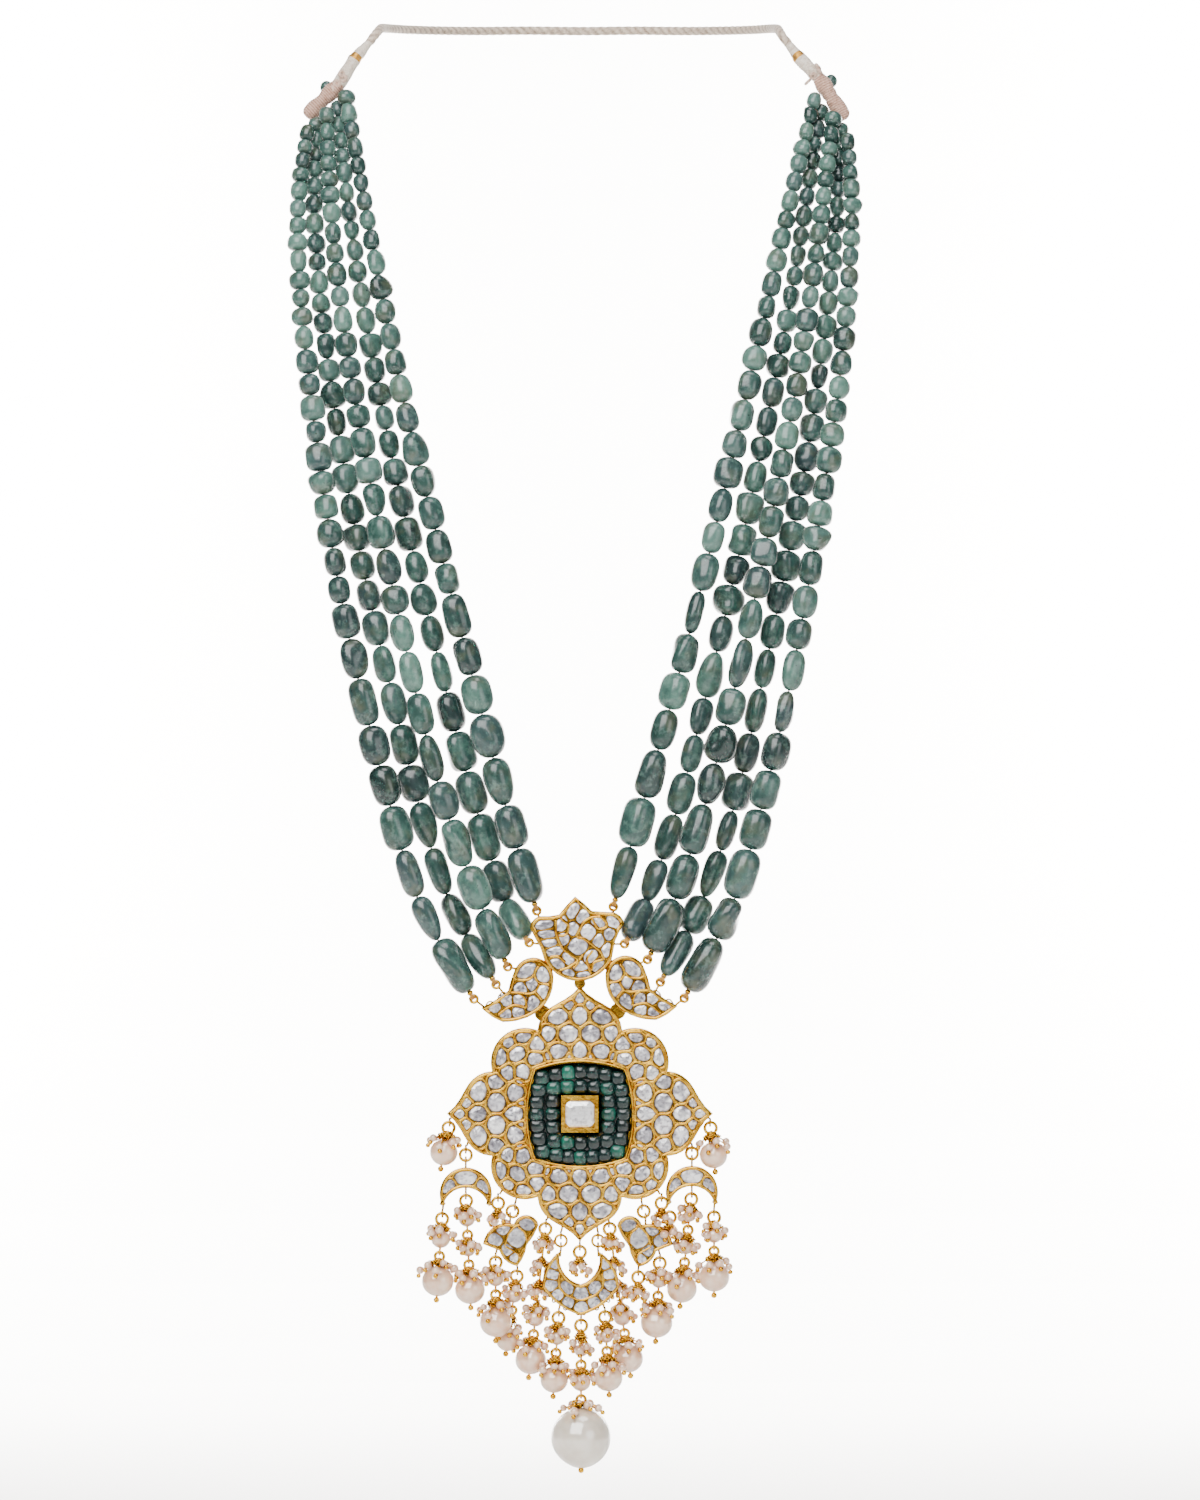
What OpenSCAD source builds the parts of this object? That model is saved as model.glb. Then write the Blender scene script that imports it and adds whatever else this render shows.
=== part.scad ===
/* [Gold plates] */
// Thickness of the flower, crest and leaf plates
plate_t = 3.2; // [3:0.1:3.6]
// Thickness of the small plates that hang on rings
small_plate_t = 2.4; // [2.2:0.1:2.8]
// Depth of a stone's pocket
pocket_d = 1.1; // [0.9:0.05:1.3]
// Clear gap round a stone in its pocket
stone_gap = 0.12; // [0.1:0.01:0.14]
// Height of a stone above the face of its plate
stone_rise = 0.2; // [0.1:0.05:0.4]

/* [Flower] */
// Reach of the upper and lower petal tips
tip_high = 31.7; // [31:0.1:32]
// Reach of the two side petal tips
tip_wide = 33; // [32.4:0.1:33.4]
// Radius of the four round lobes
lobe_r = 8.5; // [8.3:0.1:8.7]
// Half width of the emerald field, at the middle of a side
field_half = 12.8; // [12.6:0.1:13]
// Outer width of the square collet round the centre diamond
collet_w = 9.2; // [9:0.1:9.4]

/* [Pearls] */
// Diameter of the main pearl
main_pearl_d = 15; // [13:0.5:15]
// Diameter of the hole through a pearl
pearl_bore = 0.9; // [0.8:0.05:1]

/* [Bead strings] */
// Diameter of the thread
thread_d = 0.5; // [0.4:0.05:0.5]
// Diameter of the hole through an emerald bead
bead_bore = 0.9; // [0.8:0.05:1]
// Clear gap between two beads on a string
bead_gap = 0.3; // [0.25:0.01:0.4]
// Diameter of a fine string where it leaves the last large bead
string_low_d = 5.6; // [5:0.1:5.8]
// Diameter of a fine string at its upper end
string_top_d = 3.5; // [3.2:0.1:3.6]

/* [Neck] */
// Diameter of the neck cord
cord_d = 2.4; // [2:0.1:2.6]

/* [Hidden] */
$fn = 40;

gold = "#d9ab55";
polki = "#d4d2d8";
pearl_colour = "#ecd9c8";
emerald = "#5c8a7c";
dark_emerald = "#1f5148";
thread_colour = "#d8c0b0";

// The pendant hangs in front of the chest. Its own axes are u to the right, v up
// and w towards the viewer, from the flower's centre at the back of the plates.
flower_z = -276;
plate_back_y = -105;
plate_mid = plate_t / 2;
small_back = plate_mid - small_plate_t / 2;

// Wire sizes of the eyes, rings and pins
eye_r = 0.9;
eye_wire = 0.28;
ring_r = 1.45;
small_ring_r = 1.1;
ring_wire = 0.26;
big_ring_wire = 0.32;
pin_wire = 0.3;
ball_r = 0.75;

// Degrees of arc between two points of an outline, and points round a stone
arc_step = 15;
stone_sides = 10;
table_share = 0.55;

function turned(p, a) = [p.x * cos(a) - p.y * sin(a), p.x * sin(a) + p.y * cos(a)];

// Points from a to b along an arc. The bulge is the tangent of a quarter of its angle.
function arc_run(a, b, bulge) =
    abs(bulge) < 0.01 ? [a] :
    let (sweep = 4 * atan(bulge), n = max(2, ceil(abs(sweep) / arc_step)),
        half = (b - a) / 2, centre = a + half + [-half.y, half.x] / tan(sweep / 2))
    [for (i = [0:n - 1]) centre + turned(a - centre, sweep * i / n)];

// Outline from rows of [u, v, bulge of the side that starts there]
function outline(rows) = [for (i = [0:len(rows) - 1])
    let (a = rows[i], b = rows[(i + 1) % len(rows)])
    each arc_run([a.x, a.y], [b.x, b.y], a.z)];

module face_on() {
    translate([0, plate_back_y, flower_z]) rotate([90, 0, 0]) children();
}

// Stones are rows of [u, v, width, height, turn, taper]. Taper narrows the upper end.
function stone_outline(s, grow) = [for (i = [0:stone_sides - 1])
    let (a = 360 * i / stone_sides + 18,
        p = [(s[2] / 2 + grow) * cos(a) * (1 - s[5] * sin(a)), (s[3] / 2 + grow) * sin(a)])
    [s[0], s[1]] + turned(p, s[4])];

// Foil-backed cut stone: flat back, crown facets all round and a flat table
module cut_stone(s, base, height) {
    n = stone_sides;
    low = stone_outline(s, 0);
    top = stone_outline([s[0], s[1], s[2] * table_share, s[3] * table_share, s[4], s[5]], 0);
    polyhedron(
        points = concat([for (p = low) [p.x, p.y, base]], [for (p = top) [p.x, p.y, base + height]]),
        faces = concat([[for (i = [0:n - 1]) i]], [[for (i = [n - 1:-1:0]) n + i]],
            [for (i = [0:n - 1]) [i, n + i, n + (i + 1) % n, (i + 1) % n]]));
}

module pockets(stones, face) {
    for (s = stones)
        translate([0, 0, face - pocket_d]) linear_extrude(pocket_d + 1)
            polygon(stone_outline(s, stone_gap));
}

// The very finest stones are left out: their faces are under this many square mm
finest = 4.6;
module stone_set(stones, face) {
    color(polki) face_on() for (s = stones) if (s[2] * s[3] > finest)
        cut_stone(s, face - pocket_d + stone_gap, pocket_d - stone_gap + stone_rise);
}

function mirrored(stones) = [for (s = stones) [-s[0], s[1], s[2], s[3], -s[4], s[5]]];
function moved(stones, d) = [for (s = stones) [s[0] + d.x, s[1] + d.y, s[2], s[3], s[4], s[5]]];

// Flower: one petal standing up. Rows of [across, out from the centre, width, height, turn, taper]
petal_stones = [
    [0, 28.9, 2.3, 3.0, 0, 0.2], [-2.6, 27.0, 2.4, 2.2, 25, 0], [2.6, 27.0, 2.4, 2.2, -25, 0],
    [-5.6, 24.3, 4.7, 3.9, 10, 0], [0, 24.5, 3.3, 4.3, 0, -0.1], [5.6, 24.3, 4.7, 3.9, -10, 0],
    [-7.9, 19.9, 3.0, 3.3, 0, -0.35], [-2.75, 19.9, 4.2, 3.7, 0, 0],
    [2.75, 19.9, 4.2, 3.7, 0, 0], [7.9, 19.9, 3.0, 3.3, 0, -0.35],
    [-5.3, 15.3, 4.1, 3.2, 10, 0], [0, 15.6, 3.1, 4.3, 0, 0.4], [5.3, 15.3, 4.1, 3.2, -10, 0]];
// Half of a petal's edge, from its tip to the valley: rows of [out, across, bulge]
petal_edge = [[0, 0, -0.1], [3.3, 3.8, 0.02], [5.4, 7.4, 0.22], [10.8, 10.5, 0]];
// Upper right lobe: rows of [u, v, width, height, turn, taper]
lobe_stones = [
    [13.9, 19.2, 3.3, 2.3, -10, 0.2], [17.9, 17.8, 2.4, 2.6, -35, 0.1],
    [15.6, 14.9, 3.5, 2.8, -35, 0], [19.6, 14.2, 2.3, 4.0, 10, 0.25],
    [10.6, 17.3, 2.9, 3.3, 0, 0.15], [10.9, 13.6, 3.3, 3.2, 0, 0],
    [17.9, 10.2, 2.8, 2.9, 0, 0.15], [14.2, 10.3, 3.4, 3.3, 90, 0]];
lobe_at = [13.6, 12.8];

function spun(stones, a) = [for (s = stones)
    let (p = turned([s[0], s[1]], a)) [p.x, p.y, s[2], s[3], s[4] + a, s[5]]];
function wider(stones, d) = [for (s = stones) [s[0], s[1] + d * s[1] / tip_high, s[2], s[3], s[4], s[5]]];
side_petal = wider(petal_stones, tip_wide - tip_high);
flower_gems = concat(petal_stones, spun(petal_stones, 180), spun(side_petal, 90), spun(side_petal, -90),
    lobe_stones, mirrored(lobe_stones), spun(lobe_stones, 180), spun(mirrored(lobe_stones), 180));

module petal(reach) {
    half = [for (i = [0:len(petal_edge) - 2])
        let (a = petal_edge[i], b = petal_edge[i + 1])
        each arc_run([a[1], reach - a[0]], [b[1], reach - b[0]], -a[2])];
    edge = concat(half, [[10.5, reach - 10.8]]);
    polygon(concat([for (p = edge) p], [[9, 0], [-9, 0]],
        [for (i = [len(edge) - 1:-1:1]) [-edge[i].x, edge[i].y]]));
}

// Crest, right leaf, trefoil and centre crescent: rows of [u, v, bulge]
crest_rows = [[-1.2, 53.9, 0.04], [-5.2, 49.4, -0.08], [-9.9, 49.0, 0.32], [-12.4, 46.2, 0.03],
    [-9.8, 41.2, 0], [-8.8, 38.0, 0.25], [-0.6, 32.8, 0.28], [7.9, 38.1, 0], [8.8, 42.8, -0.05],
    [11.0, 47.2, 0.3], [8.3, 50.0, -0.02], [3.0, 50.3, 0.06]];
crest_gems = [
    [-1.5, 50.3, 1.9, 3.0, -28, 0], [0.6, 49.0, 2.2, 2.9, -28, 0], [-4.4, 47.0, 1.9, 3.0, -15, 0.3],
    [-1.8, 45.8, 2.2, 2.5, -20, 0], [-3.8, 43.5, 2.2, 2.4, 0, 0], [-8.8, 46.8, 3.4, 1.8, 8, 0],
    [-8.2, 44.5, 3.2, 1.7, 0, 0], [-7.5, 42.4, 2.7, 1.7, 0, 0], [-6.2, 40.3, 3.3, 1.8, 8, 0],
    [-2.9, 38.6, 2.1, 2.9, 35, 0], [-5.4, 37.2, 2.8, 1.8, -25, 0], [-0.6, 41.6, 3.8, 3.4, 0, 0],
    [2.2, 45.1, 3.0, 2.9, -20, 0], [4.7, 47.3, 2.9, 1.9, -15, 0], [8.2, 47.5, 2.5, 2.3, -35, 0],
    [7.3, 44.6, 2.0, 2.8, -20, 0], [4.8, 43.0, 2.1, 2.5, 0, 0], [6.8, 40.7, 1.9, 2.9, -12, 0],
    [2.6, 38.8, 2.0, 2.9, -35, 0], [4.4, 36.8, 1.8, 2.6, -35, 0], [0.0, 36.5, 2.8, 1.9, 0, 0.2],
    [-2.7, 34.9, 2.5, 1.4, -15, 0], [0.9, 34.4, 3.2, 1.4, 3, 0]];
leaf_rows = [[24.2, 26.7, -0.05], [17.6, 31.0, 0.05], [16.2, 35.6, 0.92], [6.3, 33.6, 0.22],
    [9.8, 26.1, 0.17], [18.9, 23.2, 0.12]];
leaf_gems = [
    [13.2, 36.1, 3.0, 4.0, 60, 0.1], [8.9, 34.8, 2.2, 2.8, -10, 0], [8.8, 30.8, 2.7, 3.0, 20, 0],
    [11.8, 32.7, 2.2, 2.2, 0, 0], [14.3, 31.5, 2.2, 1.9, -20, 0], [11.4, 27.7, 2.3, 3.2, 25, 0],
    [14.7, 28.6, 2.9, 2.4, 10, 0], [17.9, 28.6, 2.3, 2.1, -15, 0], [20.9, 26.8, 2.7, 1.8, -30, 0],
    [15.2, 25.5, 2.3, 2.3, 0, 0], [18.2, 25.1, 2.5, 2.0, -10, 0]];
left_leaf_shift = [-0.2, -0.5];

// Hanging plates, about their own centres
crescent_gems = [[-4.3, 1.7, 1.6, 3.0, -45, 0.1], [0, 3.9, 4.3, 2.7, 0, 0], [4.3, 1.7, 1.6, 3.0, 45, 0.1]];
crescent_out_r = 6.5;
crescent_in_r = 5.75;
crescent_in_v = -4.3;
crescent_left_at = [-28.3, -19.9];
crescent_right_at = [27.8, -19.5];
trefoil_rows = [[8.8, -1.7, 0.46], [1.1, 3.3, 0.75], [-5.1, 3.1, 0.1], [-2.2, -1.9, 0.15],
    [0.2, -7.2, 0.3], [4.7, -3.3, 0]];
trefoil_gems = [[-2.2, 3.3, 2.6, 1.9, 0, 0], [0.5, -0.1, 3.8, 3.9, 10, 0], [3.6, 1.9, 1.9, 2.7, 55, 0],
    [5.7, -0.6, 2.0, 2.5, 40, 0], [2.6, -3.1, 1.8, 2.2, -40, 0], [1.1, -5.3, 1.4, 1.8, -15, 0]];
trefoil_left_at = [-15.3, -30.7];
trefoil_right_at = [14.3, -30.9];
horseshoe_rows = [[0.3, -50.2, 0.18], [9.8, -43.2, 0.28], [4.6, -34.2, -0.42], [0.2, -42.4, -0.42],
    [-4.9, -34.2, 0.28], [-9.3, -43.2, 0.18]];
horseshoe_gems = [
    [-6.2, -37.4, 1.7, 2.1, -10, 0.1], [-6.9, -39.9, 1.9, 2.1, 0, 0], [-7.2, -42.6, 2.1, 2.2, 15, 0],
    [-5.5, -45.0, 2.2, 2.1, 40, 0], [-3.0, -46.9, 2.3, 1.9, -30, 0], [0.3, -48.1, 2.5, 2.0, 0, 0],
    [3.6, -46.9, 2.3, 1.9, 30, 0], [6.1, -45.0, 2.2, 2.1, -40, 0], [7.7, -42.6, 2.1, 2.2, -15, 0],
    [7.4, -39.9, 1.9, 2.1, 0, 0], [6.5, -37.4, 1.6, 2.1, 10, 0.1],
    [-3.2, -43.4, 1.9, 2.2, 30, 0], [0.3, -44.7, 2.4, 1.9, 0, 0], [3.8, -43.4, 1.9, 2.2, -30, 0]];

// Eyes soldered below an edge. The hole runs sideways, so a ring hangs in it face on.
module eye(at, back_to) {
    mid = plate_mid;
    translate([at.x, at.y, mid]) rotate([0, 90, 0]) rotate_extrude()
        translate([eye_r, 0]) circle(eye_wire);
    stub = back_to - at;
    translate([at.x, at.y, mid]) rotate([0, 0, atan2(stub.y, stub.x)]) rotate([0, 90, 0])
        translate([0, 0, eye_r]) cylinder(r = eye_wire, h = norm(stub) - eye_r);
}

// Rows of [eye u, v, and the point inside the plate that its stub reaches u, v]
frame_eyes = [[-32.3, -2.2, -31.6, 0], [32.3, -2.2, 31.6, 0], [-28.3, -8.9, -27.3, -5.5],
    [27.8, -8.5, 27.0, -5.5], [-16.1, -23.1, -15.6, -20], [15.4, -22.9, 15.2, -20],
    [-4.7, -30.2, -4.2, -27], [4.5, -30.2, 4.2, -27], [-20.3, -20.9, -18.9, -18.3],
    [20.3, -20.9, 18.9, -18.3], [-8.4, -27.3, -7.6, -24.6], [7.2, -27.3, 6.6, -24.6],
    [0, -33, 0, -30]];

// Frame eyes of the strings, inner string first: rows of [u, v, point inside the plate u, v]
left_eyes = [[-10.7, 50.3, -9.9, 48], [-12.6, 42.4, -9.6, 42], [-17.9, 36.4, -15.5, 35.8],
    [-20.8, 32.0, -18.5, 29.4], [-26.3, 28.4, -23.5, 26.2]];
right_eyes = [[8.3, 51.3, 8.2, 49], [11.1, 42.1, 8.2, 42], [16.8, 38.2, 14.4, 37],
    [20.0, 32.6, 18.4, 29.6], [25.9, 28.6, 23.6, 26.8]];

// Eye of a string, with its hole towards the viewer
module string_eye(row) {
    at = [row[0], row[1]];
    stub = [row[2], row[3]] - at;
    translate([at.x, at.y, plate_mid]) rotate_extrude() translate([eye_r, 0]) circle(eye_wire);
    translate([at.x, at.y, plate_mid]) rotate([0, 0, atan2(stub.y, stub.x)]) rotate([0, 90, 0])
        translate([0, 0, eye_r]) cylinder(r = eye_wire, h = norm(stub) - eye_r);
}

module field(half, depth) {
    side_r = 32;
    intersection_for (a = [0:90:270])
        rotate([0, 0, a]) translate([half - side_r, 0, 0]) cylinder(r = side_r, h = depth, $fn = 160);
}

field_depth = 2;
collet_wall = 0.9;
diamond_w = collet_w - 2 * collet_wall - 2 * stone_gap;
diamond_h = 6.6;
collet_rise = 1.2;

// The crest, the two leaves and the flower are soldered into one gold frame
module pendant_frame() {
    color(gold) face_on() {
        difference() {
            union() {
                linear_extrude(plate_t) petal(tip_high);
                rotate([0, 0, 180]) linear_extrude(plate_t) petal(tip_high);
                for (a = [90, -90]) rotate([0, 0, a]) linear_extrude(plate_t) petal(tip_wide);
                for (sx = [-1, 1], sy = [-1, 1])
                    translate([sx * lobe_at.x, sy * lobe_at.y, 0]) cylinder(r = lobe_r, h = plate_t);
                linear_extrude(plate_t) square(26, center = true);
                linear_extrude(plate_t) polygon(outline(crest_rows));
                linear_extrude(plate_t) polygon(outline(leaf_rows));
                translate([left_leaf_shift.x, left_leaf_shift.y, 0]) mirror([1, 0, 0])
                    linear_extrude(plate_t) polygon(outline(leaf_rows));
                for (e = frame_eyes) eye([e[0], e[1]], [e[2], e[3]]);
                for (e = concat(left_eyes, right_eyes)) string_eye(e);
                solder_bridges();
            }
            pockets(flower_gems, plate_t);
            pockets(crest_gems, plate_t);
            pockets(leaf_gems, plate_t);
            pockets(moved(mirrored(leaf_gems), left_leaf_shift), plate_t);
            translate([0, 0, plate_t - field_depth]) field(field_half, field_depth + 1);
        }
        centre_collet();
    }
}

// Solder between the plates, lower than their faces
module solder_bridges() {
    bridges = [[0, 32.3, 1.4], [-9.2, 24.9, 2], [9.4, 25.4, 2], [-8.2, 36.2, 1.5], [7.6, 36.6, 1.5]];
    for (b = bridges) translate([b[0], b[1], 0.3]) cylinder(r = b[2], h = plate_t - 0.9);
}

module centre_collet() {
    floor_w = plate_t - field_depth - 0.1;
    high = field_depth + collet_rise + 0.1;
    difference() {
        translate([-collet_w / 2, -collet_w / 2, floor_w]) cube([collet_w, collet_w, high]);
        translate([-diamond_w / 2 - stone_gap, -diamond_h / 2 - stone_gap, floor_w + high - pocket_d - 0.4])
            cube([diamond_w + 2 * stone_gap, diamond_h + 2 * stone_gap, pocket_d + 1]);
    }
}

module centre_diamond() {
    base = plate_t + collet_rise - pocket_d - 0.4 + stone_gap;
    w = diamond_w / 2;
    h = diamond_h / 2;
    cut = 1.1;
    ring = [[w, cut - h], [w, h - cut], [w - cut, h], [cut - w, h], [-w, h - cut], [-w, cut - h],
        [cut - w, -h], [w - cut, -h]];
    rise = [0, 0.9, 1.6];
    share = [1, 1, 0.62];
    n = len(ring);
    color(polki) face_on() polyhedron(
        points = [for (k = [0:2], p = ring) [p.x * share[k], p.y * share[k], base + rise[k]]],
        faces = concat([[for (i = [n - 1:-1:0]) i]], [[for (i = [0:n - 1]) 2 * n + i]],
            [for (k = [0:1], i = [0:n - 1]) let (j = (i + 1) % n)
                [k * n + i, k * n + j, (k + 1) * n + j, (k + 1) * n + i]]));
}

// Barrels side by side along one edge of a square course
module barrel_row(reach, step, count, r, high, turn) {
    for (i = [0:count - 1])
        rotate([0, 0, turn]) translate([reach * 0.98, (i + 0.5) * step - reach - r * 0.55, high])
            rotate([90, 0, 0]) cylinder(r = r, h = step - 0.25, center = true);
}

// Two square courses of short emerald barrels on one bed round the collet
module emerald_mosaic() {
    bead_r = 1.62;
    bed_t = 0.7;
    bed = plate_t - field_depth + stone_gap;
    courses = [[10.35, 7], [6.55, 4]];
    color(dark_emerald) face_on() difference() {
        intersection() {
            translate([0, 0, bed]) field(field_half - 0.3, bed_t + bead_r + 1);
            union() {
                translate([0, 0, bed]) field(field_half - 0.2, bed_t);
                for (c = courses, a = [0:90:270])
                    barrel_row(c[0], 2 * c[0] / c[1], c[1], bead_r, bed + bed_t, a);
            }
        }
        translate([-collet_w / 2 - stone_gap, -collet_w / 2 - stone_gap, 0])
            cube([collet_w + 2 * stone_gap, collet_w + 2 * stone_gap, 9]);
        translate([-20, -20, 0]) cube([40, 40, bed]);
    }
}

module flower_stones() { stone_set(flower_gems, plate_t); }
module crest_stones() { stone_set(crest_gems, plate_t); }
module leaf_stones() {
    stone_set(leaf_gems, plate_t);
    stone_set(moved(mirrored(leaf_gems), left_leaf_shift), plate_t);
}

small_face = small_back + small_plate_t;

// Crescent that opens downwards, with an eye on top and others for its drops
module crescent(at, drop_eyes) {
    color(gold) face_on() {
        difference() {
            translate([at.x, at.y, small_back]) difference() {
                cylinder(r = crescent_out_r, h = small_plate_t);
                translate([0, crescent_in_v, -1]) cylinder(r = crescent_in_r, h = small_plate_t + 2);
            }
            pockets(moved(crescent_gems, at), small_face);
        }
        eye([at.x, at.y + crescent_out_r + eye_r + 0.7], [at.x, at.y + crescent_out_r - 0.8]);
        for (e = drop_eyes) eye([at.x + e[0], at.y + e[1]], [at.x + e[2], at.y + e[3]]);
    }
}

crescent_drops_left = [[-5.8, -4.9, -5.6, -2.8], [0, -0.4, 0, 2]];
crescent_drops_right = [[5.5, -4.9, 5.6, -2.8], [0, -0.4, 0, 2]];
module crescent_left() { crescent(crescent_left_at, crescent_drops_left); }
module crescent_right() { crescent(crescent_right_at, crescent_drops_right); }
module crescent_left_stones() { stone_set(moved(crescent_gems, crescent_left_at), small_face); }
module crescent_right_stones() { stone_set(moved(crescent_gems, crescent_right_at), small_face); }

// Lotus of three petals. Side is 1 for the right one and -1 for its mirror image.
module trefoil(at, side, gems) {
    rows = outline(trefoil_rows);
    bail = [2 * side, 3.5 + eye_r + 0.7];
    color(gold) face_on() {
        difference() {
            translate([at.x, at.y, small_back]) linear_extrude(small_plate_t)
                polygon([for (p = rows) [side * p.x, p.y]]);
            pockets(moved(gems, at), small_face);
        }
        eye(at + bail, at + [2 * side, 2.4]);
        eye(at + [5.6 * side, -4.9], at + [5.2 * side, -2.4]);
        eye(at + [0.2 * side, -8.4], at + [0.3 * side, -6.2]);
    }
}

module trefoil_left() { trefoil(trefoil_left_at, -1, mirrored(trefoil_gems)); }
module trefoil_right() { trefoil(trefoil_right_at, 1, trefoil_gems); }
module trefoil_left_stones() { stone_set(moved(mirrored(trefoil_gems), trefoil_left_at), small_face); }
module trefoil_right_stones() { stone_set(moved(trefoil_gems, trefoil_right_at), small_face); }

module crescent_centre() {
    color(gold) face_on() {
        difference() {
            translate([0, 0, small_back]) linear_extrude(small_plate_t) polygon(outline(horseshoe_rows));
            pockets(horseshoe_gems, small_face);
        }
        eye([-4.7, -33.1], [-4.9, -35.6]);
        eye([4.5, -33.1], [4.6, -35.6]);
        eye([-5.2, -49.4], [-4.9, -46.9]);
        eye([6.2, -49.2], [5.7, -46.7]);
        eye([0.3, -51.3], [0.3, -49.3]);
    }
}
module crescent_centre_stones() { stone_set(horseshoe_gems, small_face); }

module ring(at, r) {
    translate([at.x, at.y, plate_mid]) rotate_extrude() translate([r, 0]) circle(big_ring_wire);
}

// Each ring joins an eye above to an eye 2.9 mm below it
module side_rings() {
    color(gold) face_on()
        for (at = [[-28.3, -10.35], [27.8, -9.95], [-16.7, -24.35], [15.85, -24.35]]) ring(at, ring_r);
}
module crescent_rings() {
    color(gold) face_on() for (at = [[-4.7, -31.65], [4.5, -31.65]]) ring(at, ring_r);
}

// A drop hangs from an eye at [u, v], leaning sideways and back by some degrees.
// Its pearls are rows of [distance below the eye, radius]. Each pearl has its own pin:
// a ring on top, a shank through the pearl, and an eye or a ball below.
small_eye_r = 0.62;

module leaning(drop) {
    translate([drop[0], drop[1], plate_mid]) rotate([drop[3], 0, drop[2]]) children();
}

module pin(drop, k) {
    pearls = drop[4];
    last = k == len(pearls) - 1;
    r = k == 0 ? ring_r : small_ring_r;
    wire = k == 0 ? big_ring_wire : ring_wire;
    hang = k == 0 ? 0 : pearls[k - 1][0] + pearls[k - 1][1] + pearl_clear + small_eye_r;
    low = pearls[k][0] + pearls[k][1] + pearl_clear;
    leaning(drop) {
        translate([0, -hang - r, 0]) rotate_extrude() translate([r, 0]) circle(wire);
        translate([0, -hang - 2 * r, 0]) rotate([90, 0, 0]) cylinder(r = pin_wire, h = low - hang - 2 * r);
        if (last) translate([0, -low - ball_r * 0.6, 0]) sphere(ball_r);
        else translate([0, -low - small_eye_r, 0]) rotate([0, 90, 0]) rotate_extrude()
            translate([small_eye_r, 0]) circle(eye_wire);
    }
}
pearl_clear = 0.25;

module drilled_pearl(r) {
    difference() {
        sphere(r, $fn = 48);
        rotate([90, 0, 0]) cylinder(d = pearl_bore, h = 2 * r + 2, center = true, $fn = 24);
    }
}

module drop_pearls(drop) {
    leaning(drop) for (p = drop[4]) translate([0, -p[0], 0]) drilled_pearl(p[1]);
}
module drop_pins(drop) {
    for (k = [0:len(drop[4]) - 1]) pin(drop, k);
}

// Rows of [eye u, v, sideways lean, backward lean, pearls as [distance below the eye, radius]]
left_drops = [
    [-32.3, -2.2, -11, 0, [[7.6, 3.5]]],
    [-34.1, -24.8, -4, 0, [[6.4, 2.4], [16.9, 4.0]]],
    [-28.3, -20.3, 2.5, 0, [[5.9, 2.1], [13.6, 1.8], [23.5, 3.8]]],
    [-20.9, -35.6, 0, 0, [[5.4, 2.1], [16.2, 4.0]]],
    [-15.5, -39.1, -8, 14, [[6.5, 2.0], [18.4, 2.9]]],
    [-8.4, -27.3, -6.4, 6, [[24.1, 2.2], [34.6, 3.9]]]];
right_drops = [
    [32.3, -2.2, 6, 0, [[8.2, 3.5]]],
    [33.3, -24.4, 0, 0, [[5.9, 2.0], [16.2, 3.9]]],
    [27.8, -19.9, -6, 0, [[5.6, 1.6], [13.6, 1.7], [23.7, 3.8]]],
    [19.9, -35.8, -3, 0, [[5.7, 2.0], [16.2, 4.0]]],
    [7.2, -27.3, 8, 7.5, [[24.1, 2.2], [34.6, 3.8]]]];
crescent_drops = [
    [-5.2, -49.4, -4, 0, [[6.4, 1.9], [16.8, 3.5]]],
    [6.2, -49.2, 3, 0, [[6.2, 1.8], [16.5, 3.6]]]];
main_drop = [0.3, -51.3, 0, 0, [[7.6, 1.7], [15.5, 2.4], [29.2, main_pearl_d / 2]]];

module pins_left() { color(gold) face_on() for (d = left_drops) drop_pins(d); }
module pearls_left() { color(pearl_colour) face_on() for (d = left_drops) drop_pearls(d); }
module pins_right() { color(gold) face_on() for (d = right_drops) drop_pins(d); }
module pearls_right() { color(pearl_colour) face_on() for (d = right_drops) drop_pearls(d); }
module crescent_pins() { color(gold) face_on() for (d = crescent_drops) drop_pins(d); }
module crescent_pearls() { color(pearl_colour) face_on() for (d = crescent_drops) drop_pearls(d); }
module main_drop_pins() { color(gold) face_on() drop_pins(main_drop); }
module main_drop_pearls() {
    color(pearl_colour) face_on() leaning(main_drop)
        for (k = [0, 1]) translate([0, -main_drop[4][k][0], 0]) drilled_pearl(main_drop[4][k][1]);
}
module main_pearl() {
    color(pearl_colour) face_on() leaning(main_drop)
        translate([0, -main_drop[4][2][0], 0]) drilled_pearl(main_drop[4][2][1]);
}

// Bead strings. Heights of the stations below the nape, from the top down.
string_z = [-50, -75, -100, -125, -150, -175, -200];
// Place of each string at those heights, inner string first; the outer strings run lower
left_x = [
    [-53.9, -49.0, -43.8, -37.5, -31.3, -24.8, -18.4],
    [-58.3, -54.3, -49.6, -44.4, -38.5, -32.5, -26.0],
    [-62.6, -59.8, -55.8, -51.0, -45.6, -40.0, -33.5],
    [-67.0, -64.9, -61.5, -57.2, -52.1, -46.1, -40.0],
    [-71.0, -69.7, -66.8, -63.3, -59.0, -53.5, -47.0]];
right_x = [
    [52.3, 46.8, 40.9, 35.1, 29.0, 22.5, 15.4],
    [56.6, 52.5, 47.5, 42.4, 36.8, 30.8, 24.5],
    [60.8, 57.3, 53.1, 48.3, 43.1, 37.4, 30.9],
    [64.8, 62.1, 58.8, 54.4, 49.4, 44.2, 38.4],
    [68.4, 66.8, 64.0, 60.1, 55.9, 51.1, 45.1]];
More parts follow.
